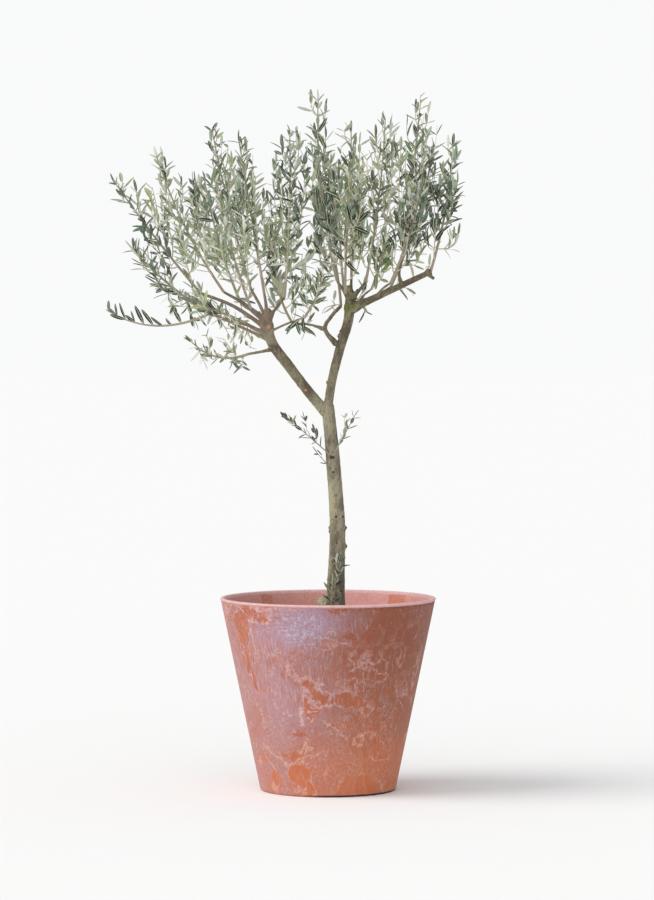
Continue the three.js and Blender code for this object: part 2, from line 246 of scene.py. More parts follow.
def turned(name, profile, segments, material):
    """A body turned on the Z axis. The profile is a list of (radius, height) off the axis, from the
    bottom outwards and up, and both its ends are closed by a point on the axis."""
    rings = np.array(profile)
    angles = np.linspace(0, 2 * math.pi, segments, endpoint=False)
    x = rings[:, :1] * np.cos(angles)
    y = rings[:, :1] * np.sin(angles)
    z = np.repeat(rings[:, 1:], segments, axis=1)
    vertices = np.stack([x, y, z], axis=2).reshape(-1, 3).tolist()
    vertices += [(0, 0, rings[0, 1]), (0, 0, rings[-1, 1])]
    around = [(i, (i + 1) % segments) for i in range(segments)]
    faces = [
        (row + i, row + j, row + segments + j, row + segments + i)
        for row in range(0, (len(rings) - 1) * segments, segments)
        for i, j in around
    ]
    last = (len(rings) - 1) * segments
    faces += [(len(vertices) - 2, j, i) for i, j in around]
    faces += [(len(vertices) - 1, last + i, last + j) for i, j in around]
    obj = new_object(name, vertices, faces, [material])
    obj.data.shade_smooth()
    return obj


def pot_profile():
    lip_z = POT_HEIGHT - LIP["high"]
    lip_r = wall_radius(POT_HEIGHT) - WALL / 2 + LIP["out"]
    under_lip = lip_z - 1.25 * LIP["high"]
    outside = np.linspace(FOOT_ROUND, under_lip, 48)
    inside = np.linspace(lip_z - 0.0016, BASE + 0.004, 40)
    foot = arc((wall_radius(FOOT_ROUND) - FOOT_ROUND, FOOT_ROUND), FOOT_ROUND, FOOT_ROUND, -90, 0, 6)
    return [
        (FLAT_FOOT[0], 0),
        (FLAT_FOOT[1], 0),
        *foot[:-1],
        *((wall_radius(z), z) for z in outside),
        (wall_radius(under_lip) - LIP["groove"], under_lip + 0.0006),
        *arc((lip_r, lip_z), LIP["deep"], LIP["high"], *LIP_ARC, 24),
        *((wall_radius(z) - WALL, z) for z in inside),
        (wall_radius(BASE) - WALL - 0.003, BASE),
        (FLAT_FOOT[0], BASE),
    ]


# The deep clay is a random darker tone and also painted shade on the right; the low clay is painted light
# thrown up off the floor.
CLAY = {"body": paint(186, 104, 68), "deep": paint(142, 72, 44), "low": paint(196, 108, 66)}
FILM = {
    "pink": paint(178, 130, 128),
    "tan": paint(158, 100, 80),
    "sand": paint(198, 124, 92),
    "mauve": paint(178, 150, 170),
    # painted shade: the brown that darkens the bloom on the right
    "brown": paint(118, 72, 56),
}
RIDGE = {"pink": paint(222, 184, 184), "sand": paint(222, 170, 148), "mauve": paint(204, 192, 214)}
INNER = {
    "pink": paint(226, 160, 154),
    "run": paint(206, 118, 84),
    "tan": paint(200, 134, 114),
    "pale": paint(234, 180, 174),
}
LIP_FILM = {"pink": paint(218, 168, 164), "pale": paint(226, 186, 188)}
# painted shadow: the dark line under the foot
FOOT_SHADOW = paint(18, 20, 30)
SPECKLE = ((0.92, 0.92, 0.92, 1), (1.06, 1.06, 1.06, 1))
# Where the film of bloom is worn through, or thicker where the share is below 0: the angle round the
# pot from the front, the height, the half width, the half height and the share.
PATCHES = [
    (-57, 0.333, 0.030, 0.040, 1.0),
    (-56, 0.268, 0.011, 0.036, 0.7),
    (-52, 0.222, 0.011, 0.030, 0.6),
    (5, 0.3765, 0.032, 0.0045, 1.4),
    (12, 0.325, 0.020, 0.006, 1.0),
    (38, 0.372, 0.060, 0.008, 0.6),
    (53, 0.315, 0.018, 0.020, 1.2),
    (33, 0.140, 0.022, 0.009, 1.0),
    (37, 0.104, 0.014, 0.024, 0.8),
    (55, 0.106, 0.013, 0.030, 0.8),
    (47, 0.080, 0.022, 0.006, 1.1),
    (-29, 0.084, 0.030, 0.010, 1.1),
    (-25, 0.046, 0.028, 0.021, 1.0),
    (-54, 0.077, 0.011, 0.018, 0.9),
    (-46, 0.035, 0.012, 0.018, 0.7),
    (6, 0.146, 0.030, 0.010, 0.7),
    (14, 0.192, 0.036, 0.020, 0.5),
    (30, 0.240, 0.034, 0.018, 0.4),
    (-12, 0.174, 0.022, 0.008, 0.8),
    (-20, 0.126, 0.022, 0.006, 0.7),
    (-14, 0.345, 0.090, 0.045, -0.30),
    (-23, 0.165, 0.030, 0.030, -0.35),
    (-44, 0.290, 0.020, 0.060, -0.25),
    (112, 0.330, 0.070, 0.020, 1.0),
    (140, 0.120, 0.060, 0.060, 0.9),
    (178, 0.300, 0.030, 0.080, 1.0),
    (-165, 0.060, 0.080, 0.020, 1.0),
    (-128, 0.230, 0.050, 0.030, 0.9),
    (-108, 0.060, 0.040, 0.030, 0.8),
    (160, 0.200, 0.090, 0.050, -0.30),
]
# Pale ridges, each from one angle and height to another, with its half width.
VEINS = [
    (-55, 0.099, -32, 0.063, 0.0040),
    (-32, 0.063, -22, 0.079, 0.0040),
    (-22, 0.079, -5, 0.090, 0.0036),
    (-4, 0.155, 6, 0.141, 0.0026),
    (6, 0.141, 13, 0.122, 0.0024),
    (13, 0.122, 17, 0.130, 0.0020),
    (2, 0.317, 14, 0.308, 0.0022),
    (14, 0.308, 19, 0.316, 0.0018),
    (41, 0.320, 32, 0.284, 0.0022),
    (30, 0.290, 38, 0.265, 0.0020),
    (38, 0.265, 35, 0.248, 0.0018),
    (-19, 0.180, -19, 0.144, 0.0060),
    (-19, 0.172, -7, 0.175, 0.0024),
    (-36, 0.181, -26, 0.163, 0.0022),
    (52, 0.190, 64, 0.159, 0.0020),
    (27, 0.133, 36, 0.123, 0.0020),
    (33, 0.079, 52, 0.071, 0.0024),
    (28, 0.042, 36, 0.000, 0.0022),
    (14, 0.035, 2, 0.001, 0.0034),
    (42, 0.037, 55, 0.002, 0.0030),
    (-58, 0.092, -45, 0.041, 0.0026),
    (-49, 0.336, -47, 0.279, 0.0026),
    (-140, 0.280, -118, 0.255, 0.0030),
    (162, 0.120, 177, 0.095, 0.0034),
    (128, 0.060, 150, 0.075, 0.0030),
]
# Where the mix ran down in straight fans: the angle and height they spread from, their half width
# to their length, and how far down they begin and end.
FANS = [
    (36, 0.395, 0.85, 0.014, 0.120),
    (25, 0.089, 0.62, 0.045, 0.112),
    (150, 0.395, 0.50, 0.020, 0.140),
]
# Where a painted highlight lies on the bloom, and where the bloom is mauve, partly its own colour and
# partly painted reflection of the lamp: ovals as in PATCHES, the mauve ones with their shares. The
# runs are the ovals where it ran off the inner wall.
HIGHLIGHT_OVAL = (-14, 0.338, 0.055, 0.040)
MAUVE_AND_REFLECTION = [
    (-16, 0.352, 0.150, 0.075, 1.0),
    (-20, 0.215, 0.120, 0.110, 0.35),
    (-22, 0.150, 0.070, 0.060, 0.15),
    (170, 0.300, 0.160, 0.100, 0.7),
]
INNER_RUNS = [(-142, 0.37, 0.016, 0.20), (136, 0.37, 0.026, 0.20)]


def stirred(at, scale, reach, detail):
    """The same place, moved about by up to half the reach."""
    swirl = at.nodes.noise(at, scale, detail, 0.6, output="Color")
    swirl = at.nodes.vector("SUBTRACT", swirl, (0.5, 0.5, 0.5))
    return at.nodes.vector("MULTIPLY_ADD", swirl, (reach,) * 3, at)


def spot(turn, up, degrees, height, half_width, half_height):
    """1 in the middle of an oval on the wall and 0 from its edge on."""
    along = (turn - math.radians(degrees)) * (wall_radius(height) / half_width)
    up = (up - height) / half_height
    return (1.0 - (along * along + up * up)).at_least(0.0)


def vein(turn, up, start, low, end, high, half_width):
    """1 along the middle of a ridge and 0 from its edges on."""
    mean = wall_radius((low + high) / 2)
    run = Vector((math.radians(end - start) * mean, high - low))
    along, up = (turn - math.radians(start)) * mean, up - low
    part = ((along * run.x + up * run.y) / run.length_squared).at_least(0.0).at_most(1.0)
    along, up = along - part * run.x, up - part * run.y
    return (along * along + up * up).root().between(half_width, 0.0)


class PotWall:
    """Where a point of the pot lies: its place and angle, the place on a straight tube, which keeps
    the pattern as wide at the foot as at the rim, and that place and angle stirred about."""

    def __init__(self, nodes):
        self.nodes = nodes
        self.place = nodes.place()
        self.x = nodes.add("ShaderNodeSeparateXYZ", {}, {0: self.place}, "X")
        self.y, self.z = self.x.output("Y"), self.x.output("Z")
        self.angle = self.x.math("ARCTAN2", self.x, self.y * -1.0)
        self.radius = self.z * POT_SLOPE + FOOT_RADIUS
        tube = {0: self.x / self.radius * MEAN_RADIUS, 1: self.y / self.radius * MEAN_RADIUS, 2: self.z}
        self.even = nodes.add("ShaderNodeCombineXYZ", {}, tube)
        self.ragged = stirred(stirred(self.even, 15.0, 0.030, 3.0), 70.0, 0.020, 4.0)
        ragged_x = nodes.add("ShaderNodeSeparateXYZ", {}, {0: self.ragged}, "X")
        self.turn = ragged_x.math("ARCTAN2", ragged_x, ragged_x.output("Y") * -1.0)
        self.up = ragged_x.output("Z")
        # the left front, where the bloom lies thicker and pinker: partly its own pattern and partly painted
        # light from the lamp at the left
        self.left = (self.angle * -1.0).between(-0.75, 0.75) * (self.angle * -1.0).between(3.2, 2.2)


def clay_film(wall):
    """How thick the bloom lies, the mix under it, where that is bare, and where it ran in fans."""
    worn = 0.0
    thick = 0.0
    for *where, share in PATCHES:
        if share > 0:
            worn = spot(wall.turn, wall.up, *where) * share + worn
        else:
            thick = spot(wall.turn, wall.up, *where) * -share + thick
    wide = wall.nodes.noise(wall.ragged, 12.0, 4.0, 0.60) - 0.5
    body = wide * 1.7 + thick * 0.6 - worn * 0.85
    bare = body.between(-0.17, -0.26)
    # thicker bloom on the left, partly painted light
    film = wide * 2.4 + thick + 0.52 + wall.left * 0.20 - wall.z.between(0.15, 0.0) * 0.08
    film = film.at_most(0.92) * (1.0 - bare * 0.88)
    fanned = 0.0
    for degrees, height, spread, first, last in FANS:
        down = height - wall.z
        lean = (wall.angle - math.radians(degrees)) * wall.radius / down.at_least(0.004)
        ray = wall.nodes.add("ShaderNodeCombineXYZ", {}, {0: lean, 1: height})
        rays = wall.nodes.noise(ray, 6.0, 3.0, 0.6) - 0.45
        inside = lean.size().between(spread, spread * 0.95) * down.between(last, last * 0.8)
        inside = inside * down.between(first, first + 0.003)
        film = film * (1.0 - inside * 0.85) + rays * inside * 4.2
        fanned = inside + fanned
    return film, body, bare, fanned


def clay_strokes(wall, bare, fanned):
    """Fine worm-like strokes, alone and mixed with straight ones where the wall was brushed down."""
    curly = wall.nodes.noise(stirred(wall.even, 95.0, 0.018, 2.0), 200.0, 2.0, 0.5) - 0.5
    combed = wall.nodes.vector("MULTIPLY", stirred(wall.even, 8.0, 0.030, 1.0), (1.0, 1.0, 0.12))
    straight = wall.nodes.noise(combed, 330.0, 2.0, 0.55) - 0.5
    brushed = wall.z.between(0.12, 0.20) * wall.z.between(0.345, 0.30)
    brushed = brushed.at_least((1.0 - wall.left) * wall.z.between(0.04, 0.10))
    brushed = brushed * wall.nodes.noise(wall.even, 9.0, 1.0).between(0.28, 0.42)
    brushed = brushed.at_least(wall.z.between(0.09, 0.03) * bare)
    mixed = curly * (1.0 - brushed * 0.85) + straight * brushed * 0.95
    return curly, mixed * (1.0 - fanned * 0.7)


def clay_ridges(wall, body, curly, strokes, fanned, painted_highlight):
    """Pale ridges: lace where the mix curdled, a seam along the worn patches, and the veins."""
    lace = (wall.nodes.noise(wall.ragged, 40.0, 4.0, 0.62, 0.9) - 0.5).size().between(0.020, 0.002)
    gate = wall.nodes.noise(wall.even, 13.0, 2.0, 0.6)
    # the painted highlight shows more of the pale lace
    lace = lace * (gate.between(0.46, 0.62) + painted_highlight) * 0.65
    seam = (body + 0.14).size().between(0.060, 0.010) * gate.between(0.66, 0.46) * 0.8
    for where in VEINS:
        seam = seam.at_least(vein(wall.turn, wall.up, *where))
    seam = seam * (0.6 + curly * 2.5)
    # the painted highlight also brings out more pale stroke bits
    bits = strokes.between(0.05, 0.13) * 0.5
    return (lace + bits * (painted_highlight + 0.45)).at_least(seam) * (1.0 - fanned * 0.6).at_least(0.0)


def outer_colour(wall, film, pale, painted_highlight):
    """The clay, deeper and darker on the right with painted shade, the bloom over it, and the ridges on top.
    """
    nodes, z = wall.nodes, wall.z
    # painted shade: the upper right, away from the lamp, is darker in clay, bloom and ridges
    painted_shade_right = (1.0 - wall.left) * z.between(0.08, 0.34)
    clay = nodes.mix(painted_shade_right, CLAY["body"], CLAY["deep"])
    clay = nodes.mix(nodes.noise(wall.even, 34.0, 4.0, 0.6).between(0.40, 0.62) * 0.35, clay, CLAY["deep"])
    # painted light: the clay brighter and more orange low down, where light comes back off the floor
    clay = nodes.mix(z.between(0.13, 0.02), clay, CLAY["low"])
    tan = nodes.mix(z.between(0.17, 0.05), FILM["tan"], FILM["sand"])
    # pinker bloom on the left, partly painted light
    veil = nodes.mix(wall.left, tan, FILM["pink"])
    # the bloom turns mauve in ovals, partly its own colour and partly painted reflection of the lamp, on top
    # of the painted highlight
    mauve_and_reflection = painted_highlight * 0.4
    for *where, share in MAUVE_AND_REFLECTION:
        mauve_and_reflection = spot(wall.angle, z, *where) * share + mauve_and_reflection
    veil = nodes.mix(mauve_and_reflection.at_most(1.0), veil, FILM["mauve"])
    # painted shade: the bloom browner on the right
    veil = nodes.mix(painted_shade_right * 0.45, veil, FILM["brown"])
    colour = nodes.mix(film.at_least(0.03).at_most(1.0), clay, veil)
    ridge = nodes.mix(z.between(0.20, 0.08) * 0.8, RIDGE["pink"], RIDGE["sand"])
    # painted shade: the ridges tan on the right
    ridge = nodes.mix(painted_shade_right * 0.5, ridge, FILM["tan"])
    # painted highlight: the ridges paler and mauve in it
    ridge = nodes.mix((painted_highlight * 1.4).at_most(1.0), ridge, RIDGE["mauve"])
    return nodes.mix(pale.at_most(0.85), colour, ridge)


def inner_colour(wall, curly):
    """A thin even bloom with a few wide runs, tan patches, and painted shade on the left."""
    nodes = wall.nodes
    runs = 0.0
    for where in INNER_RUNS:
        runs = spot(wall.angle, wall.z, *where) + runs
    colour = nodes.mix(runs.between(0.0, 0.2) * 0.85, INNER["pink"], INNER["run"])
    # tan patches at random, and painted shade on the left of the inner wall
    shaded = nodes.noise(wall.even, 17.0, 3.0, 0.6).between(0.50, 0.66)
    shaded = shaded + (wall.angle * -1.0).between(1.2, 1.9)
    colour = nodes.mix(shaded.at_most(1.0) * 0.35, colour, INNER["tan"])
    return nodes.mix(curly.between(-0.05, 0.15) * 0.4, colour, INNER["pale"])


def marbled_clay():
    material, nodes = new_material("marbled_clay")
    wall = PotWall(nodes)
    film, body, bare, fanned = clay_film(wall)
    curly, strokes = clay_strokes(wall, bare, fanned)
    grain = nodes.noise(wall.place, 700.0, 2.0, 0.6) - 0.5
    film = film + (strokes * 2.6 + grain * 0.3) * (1.0 - bare * 0.45)
    # painted highlight: an oval on the upper left front
    painted_highlight = spot(wall.angle, wall.z, *HIGHLIGHT_OVAL)
    pale = clay_ridges(wall, body, curly, strokes, fanned, painted_highlight)
    colour = outer_colour(wall, film, pale, painted_highlight)
    inside = (wall.radius - (wall.x * wall.x + wall.y * wall.y).root()).between(0.0030, 0.0050)
    colour = nodes.mix(inside, colour, inner_colour(wall, curly))
    # the lip is worn pale, and painted shadow lies in a dark line round the shaded side of the foot
    lip = wall.z.between(POT_HEIGHT - 0.0066, POT_HEIGHT - 0.0056)
    lip_film = nodes.mix(curly.between(-0.15, 0.15), LIP_FILM["pink"], LIP_FILM["pale"])
    colour = nodes.mix(lip, colour, lip_film)
    colour = nodes.mix(1.0, colour, nodes.mix(grain + 0.5, *SPECKLE), "MULTIPLY")
    foot_shadow = wall.z.between(0.0054, 0.0024) * (wall.angle + 0.5).between(0.0, 0.5)
    foot_shadow = foot_shadow * (2.6 - wall.angle).between(0.0, 0.4)
    colour = nodes.mix(foot_shadow * 0.95, colour, FOOT_SHADOW)
    height = film * 0.3 + pale * 0.6 + strokes * 1.0 + grain * 0.25
    nodes.finish(colour, 0.58 + film * 0.10, (height, 0.7, 0.0008))
    return material


planter = turned("planter", pot_profile(), POT_SEGMENTS, marbled_clay())
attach(planter, "root")
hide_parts("pot")


# ---- compost ----
# Dark potting compost, pressed down by hand to some 4 cm under the rim and heaped a little round
# the stem, with loose crumbs and chips lying on it.
SOIL_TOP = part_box("soil")[1].z
SOIL_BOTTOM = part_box("soil")[0].z
SOIL_GAP = 0.0006  # to the wall
SOIL_RINGS = 34
SOIL_SEGMENTS = 120
SOIL_HEAP = 0.0030  # at the stem
SOIL_FALL = 0.0018  # towards the wall
SOIL_SUNK = 0.0012  # all over
SOIL_LUMPS = ((0.0032, 22, 0.2), (0.0016, 75, 0.7))  # how high, how many to a metre, which noise
CRUMBS = {"Density": 11000.0, "Smallest": 0.0022, "Largest": 0.0062, "Seed": 7}
CRUMB_SHAPE = {"Min": (0.35, 0.25, 0.18), "Max": (1.0, 0.7, 0.45)}
CRUMB_TURN = {"Min": (-0.5, -0.5, 0.0), "Max": (0.5, 0.5, 6.28)}
UPWARD = 0.7  # crumbs lie only on faces whose normal points up by this much


def soil_height(x, y):
    far = math.hypot(x, y) / (wall_radius(SOIL_TOP) - WALL)
    heap = SOIL_HEAP * math.exp(-((far / 0.22) ** 2)) - SOIL_FALL * far**2
    lumps = sum(high * noise.noise(Vector((x, y, layer)) * scale) for high, scale, layer in SOIL_LUMPS)
    return SOIL_TOP + heap + lumps - SOIL_SUNK


def compost_mesh(material):
    rim = wall_radius(SOIL_TOP) - WALL - SOIL_GAP
    foot = wall_radius(SOIL_BOTTOM) - WALL - SOIL_GAP
    profile = [(foot * k / 4, SOIL_BOTTOM) for k in range(1, 5)]
    deep = SOIL_TOP - SOIL_BOTTOM
    profile += [(foot + (rim - foot) * k / 6, SOIL_BOTTOM + deep * k / 6) for k in range(1, 6)]
    profile += [(rim * (1 - k / SOIL_RINGS), SOIL_TOP) for k in range(SOIL_RINGS)]
    obj = turned("compost", profile, SOIL_SEGMENTS, material)
    for vertex in obj.data.vertices:
        if vertex.co.z > SOIL_TOP - 1e-4:
            vertex.co.z = soil_height(vertex.co.x, vertex.co.y)
    return obj


def compost_finish():
    material, nodes = new_material("compost_brown")
    place = nodes.place()
    fine = nodes.noise(place, 260.0, 6.0, 0.7)
    wide = nodes.noise(place, 34.0, 3.0, 0.6)
    colour = nodes.mix(fine.between(0.35, 0.68), paint(38, 27, 20), paint(84, 60, 44))
    colour = nodes.mix(wide.between(0.45, 0.70) * 0.5, colour, paint(62, 48, 36))
    nodes.finish(colour, 0.95, (fine, 0.8, 0.002))
    return material


def scattered(surface, sizes, material):
    """Crumbs strewn over the upper side of a surface, as one plain mesh."""
    tree = bpy.data.node_groups.new("strewn_crumbs", "GeometryNodeTree")
    kinds = {"Density": "NodeSocketFloat", "Smallest": "NodeSocketFloat", "Largest": "NodeSocketFloat"}
    tree.interface.new_socket("Geometry", in_out="INPUT", socket_type="NodeSocketGeometry")
    ids = {}
    for name, kind in {**kinds, "Seed": "NodeSocketInt"}.items():
        ids[name] = tree.interface.new_socket(name, in_out="INPUT", socket_type=kind).identifier
    tree.interface.new_socket("Geometry", in_out="OUTPUT", socket_type="NodeSocketGeometry")
    nodes = Nodes(tree)
    given = nodes.add("NodeGroupInput", {}, {}, "Geometry")
    facing = nodes.add("GeometryNodeInputNormal", {}, {})
    upward = nodes.add("ShaderNodeSeparateXYZ", {}, {0: facing}, "Z")
    chosen = nodes.add("FunctionNodeCompare", {"operation": "GREATER_THAN"}, {0: upward, 1: UPWARD})
    seed = {"Seed": given.output("Seed")}
    spread = {"Mesh": given, "Selection": chosen, "Density": given.output("Density"), **seed}
    points = nodes.add("GeometryNodeDistributePointsOnFaces", {}, spread)
    crumb = nodes.add("GeometryNodeMeshIcoSphere", {}, {"Radius": 1.0, "Subdivisions": 1})
    vector = {"data_type": "FLOAT_VECTOR"}
    shape = nodes.add("FunctionNodeRandomValue", vector, {**CRUMB_SHAPE, **seed}, 0)
    limits = {2: given.output("Smallest"), 3: given.output("Largest"), **seed}
    size = nodes.add("FunctionNodeRandomValue", {"data_type": "FLOAT"}, limits, 1)
    scale = nodes.add("ShaderNodeVectorMath", {"operation": "SCALE"}, {0: shape, "Scale": size})
    turn = nodes.add("FunctionNodeRandomValue", vector, {**CRUMB_TURN, **seed}, 0)
    strewn = {"Points": points, "Instance": crumb, "Rotation": turn, "Scale": scale}
    placed = nodes.add("GeometryNodeInstanceOnPoints", {}, strewn)
    real = nodes.add("GeometryNodeRealizeInstances", {}, {"Geometry": placed})
    done = nodes.add("GeometryNodeSetMaterial", {}, {"Geometry": real, "Material": material})
    nodes.add("NodeGroupOutput", {}, {"Geometry": done})
    holder = bpy.data.objects.new("crumb_holder", surface.data)
    bpy.context.collection.objects.link(holder)
    modifier = holder.modifiers.new("crumbs", "NODES")
    modifier.node_group = tree
    for name, value in sizes.items():
        modifier[ids[name]] = value
    graph = bpy.context.evaluated_depsgraph_get()
    mesh = bpy.data.meshes.new_from_object(holder.evaluated_get(graph), depsgraph=graph)
    holder.modifiers.remove(modifier)
    bpy.data.objects.remove(holder)
    obj = bpy.data.objects.new("compost_crumbs", mesh)
    bpy.context.collection.objects.link(obj)
    return obj


def chip_finish():
    material, nodes = new_material("chip_brown")
    spots = nodes.noise(nodes.place(), 90.0, 3.0, 0.6)
    colour = nodes.mix(spots.between(0.38, 0.62), paint(48, 34, 25), paint(112, 82, 58))
    nodes.finish(colour, 0.92)
    return material


compost = compost_mesh(compost_finish())
crumbs = scattered(compost, CRUMBS, chip_finish())
for piece in (compost, crumbs):
    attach(piece, "root")
    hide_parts("soil")


# ---- stem and boughs ----
# One stem with a burl at its foot forks into two boughs that were cut back to heads. Each limb is a
# line of points from its root inside its parent, with its radius at root and tip.
GROUND = SOIL_TOP + 0.0003
SUNK = 0.012
FORK_Z = 0.768
FLARE = {"radius": 0.008, "height": 0.020}
BURL = {"centre": (-0.003, -0.004, GROUND + 0.022), "radii": (0.021, 0.020, 0.025)}

LIMBS = {
    "trunk": (
        [(0.013, 0, GROUND - SUNK), (0.016, 0, 0.420), (0.019, 0, 0.520), (0.012, 0, 0.635), (0, 0, FORK_Z)],
        0.0184, 0.0126,
    ),
    "left_bough": (
        [
            (-0.001, 0, 0.750), (-0.033, -0.005, 0.788), (-0.075, -0.012, 0.843),
            (-0.113, -0.018, 0.897), (-0.122, -0.020, 0.945),
        ],
        0.0106, 0.0104,
    ),
    "right_bough": (
        [
            (0, 0, FORK_Z - 0.006), (0.008, 0.003, 0.816), (0.022, 0.010, 0.875),
            (0.040, 0.017, 0.935), (0.046, 0.020, 0.990),
        ],
        0.009, 0.0104,
    ),
    "right_limb": ([(0.046, 0.018, 0.960), (0.112, 0.008, 0.991), (0.204, -0.005, 1.034)], 0.008, 0.0055),
    "right_riser": ([(0.146, 0.003, 1.009), (0.142, 0.020, 1.030), (0.148, 0.034, 1.058)], 0.0034, 0.0026),
    "right_spur_front": (
        [(0.096, 0.009, 0.984), (0.108, -0.022, 1.000), (0.124, -0.052, 1.012)],
        0.0030, 0.0022,
    ),
    "right_spur_back": (
        [(0.078, 0.012, 0.976), (0.102, 0.044, 0.990), (0.126, 0.076, 1.004)],
        0.0030, 0.0022,
    ),
    "right_spur_low": (
        [(0.060, 0.016, 0.967), (0.070, -0.030, 0.986), (0.086, -0.074, 1.000)],
        0.0030, 0.0022,
    ),
    "left_limb_upper": (
        [(-0.122, -0.020, 0.922), (-0.189, 0, 0.966), (-0.255, 0.020, 0.992)],
        0.0046, 0.0030,
    ),
    "left_limb_inner": (
        [(-0.122, -0.020, 0.938), (-0.165, -0.046, 0.970), (-0.206, -0.070, 0.994)],
        0.0042, 0.0028,
    ),
    "left_limb_outer": (
        [(-0.120, -0.018, 0.900), (-0.196, -0.010, 0.935), (-0.262, -0.002, 0.967)],
        0.0034, 0.0026,
    ),
    "left_limb_low": (
        [(-0.104, -0.017, 0.882), (-0.130, -0.024, 0.876), (-0.158, -0.034, 0.871)],
        0.0036, 0.0026,
    ),
    "left_limb_trail": (
        [(-0.114, -0.018, 0.912), (-0.186, -0.060, 0.936), (-0.236, -0.084, 0.950)],
        0.0028, 0.0022,
    ),
    "left_spur_front": (
        [(-0.118, -0.020, 0.906), (-0.142, -0.058, 0.922), (-0.164, -0.088, 0.934)],
        0.0028, 0.0022,
    ),
    "left_spur_back": (
        [(-0.117, -0.018, 0.906), (-0.146, 0.030, 0.918), (-0.170, 0.064, 0.934)],
        0.0028, 0.0022,
    ),
    "left_limb_back": (
        [(-0.121, -0.020, 0.930), (-0.148, 0.032, 0.952), (-0.178, 0.076, 0.978)],
        0.0038, 0.0028,
    ),
    "left_limb_front": (
        [(-0.122, -0.020, 0.926), (-0.135, -0.060, 0.942), (-0.152, -0.098, 0.962)],
        0.0038, 0.0028,
    ),
    "left_shoot_tall": (
        [(-0.122, -0.020, 0.936), (-0.135, 0.004, 0.966), (-0.154, 0.022, 1.000)],
        0.0038, 0.0028,
    ),
    "left_shoot_middle": (
        [(-0.122, -0.020, 0.940), (-0.123, -0.018, 0.966), (-0.127, -0.012, 0.992)],
        0.0038, 0.0028,
    ),
    "left_shoot_right": (
        [(-0.121, -0.020, 0.936), (-0.103, -0.035, 0.962), (-0.086, -0.052, 0.984)],
        0.0038, 0.0028,
    ),
    "left_shoot_cross": (
        [(-0.118, -0.020, 0.914), (-0.084, -0.048, 0.930), (-0.046, -0.078, 0.944)],
        0.0026, 0.0020,
    ),
    "inner_limb": (
        [(0.017, 0.006, 0.889), (-0.006, 0.002, 0.921), (0.008, 0.018, 0.947), (0.026, 0.034, 0.966)],
        0.005, 0.0034,
    ),
    "inner_limb_left": (
        [(-0.004, 0.002, 0.919), (-0.038, 0.024, 0.929), (-0.070, 0.052, 0.930)],
        0.0034, 0.0024,
    ),
    "right_shoot_tall": (
        [(0.045, 0.020, 0.974), (0.033, 0.017, 0.994), (0.018, 0.012, 1.016)],
        0.0040, 0.0028,
    ),
    "right_shoot_middle": (
        [(0.046, 0.020, 0.984), (0.046, 0.029, 1.002), (0.047, 0.040, 1.020)],
        0.0040, 0.0028,
    ),
    "right_shoot_right": (
        [(0.046, 0.020, 0.980), (0.061, 0, 0.996), (0.075, -0.022, 1.014)],
        0.0040, 0.0028,
    ),
    "right_limb_front": (
        [(0.045, 0.019, 0.970), (0.041, -0.022, 0.982), (0.034, -0.068, 0.992)],
        0.0040, 0.0028,
    ),
    "right_limb_back": (
        [(0.045, 0.020, 0.966), (0.041, 0.064, 0.984), (0.032, 0.106, 1.000)],
        0.0040, 0.0028,
    ),
}
# Lumps of wood where the boughs were cut back, and the dead stubs on them: ends and radii.
HEADS = [
    ((-0.121, -0.019, 0.925), (0.014, 0.013, 0.015)),
    ((-0.123, -0.021, 0.941), (0.0125, 0.012, 0.012)),
    ((0.044, 0.019, 0.962), (0.0125, 0.012, 0.016)),
    ((0.046, 0.020, 0.985), (0.0115, 0.011, 0.012)),
    ((0.000, 0.000, 0.760), (0.0128, 0.0126, 0.017)),
    ((0.028, 0.004, GROUND + 0.004), (0.012, 0.013, 0.014)),
    ((0.200, -0.005, 1.033), (0.0072, 0.0070, 0.0072)),
]
STUBS = [
    ((-0.123, -0.021, 0.938), (-0.120, -0.024, 0.962), 0.0075, 0.0064),
    ((-0.116, -0.020, 0.936), (-0.108, -0.026, 0.957), 0.0048, 0.0040),
    ((-0.129, -0.018, 0.935), (-0.139, -0.014, 0.955), 0.0046, 0.0038),
    ((0.046, 0.020, 0.982), (0.040, 0.018, 1.007), 0.0088, 0.0074),
    ((0.050, 0.020, 0.980), (0.061, 0.024, 0.999), 0.0048, 0.0040),
    ((0.196, -0.005, 1.031), (0.211, -0.010, 1.020), 0.0042, 0.0034),
    ((0.028, 0.011, 0.904), (0.0195, 0.008, 0.908), 0.0056, 0.0044),
    ((0.006, 0.002, 0.812), (-0.0035, -0.001, 0.815), 0.0036, 0.0028),
]
COLLAR = {"swell": 0.35, "first": 0.011, "last": 0.008}  # where a side limb leaves its parent
VOXEL = 0.00135
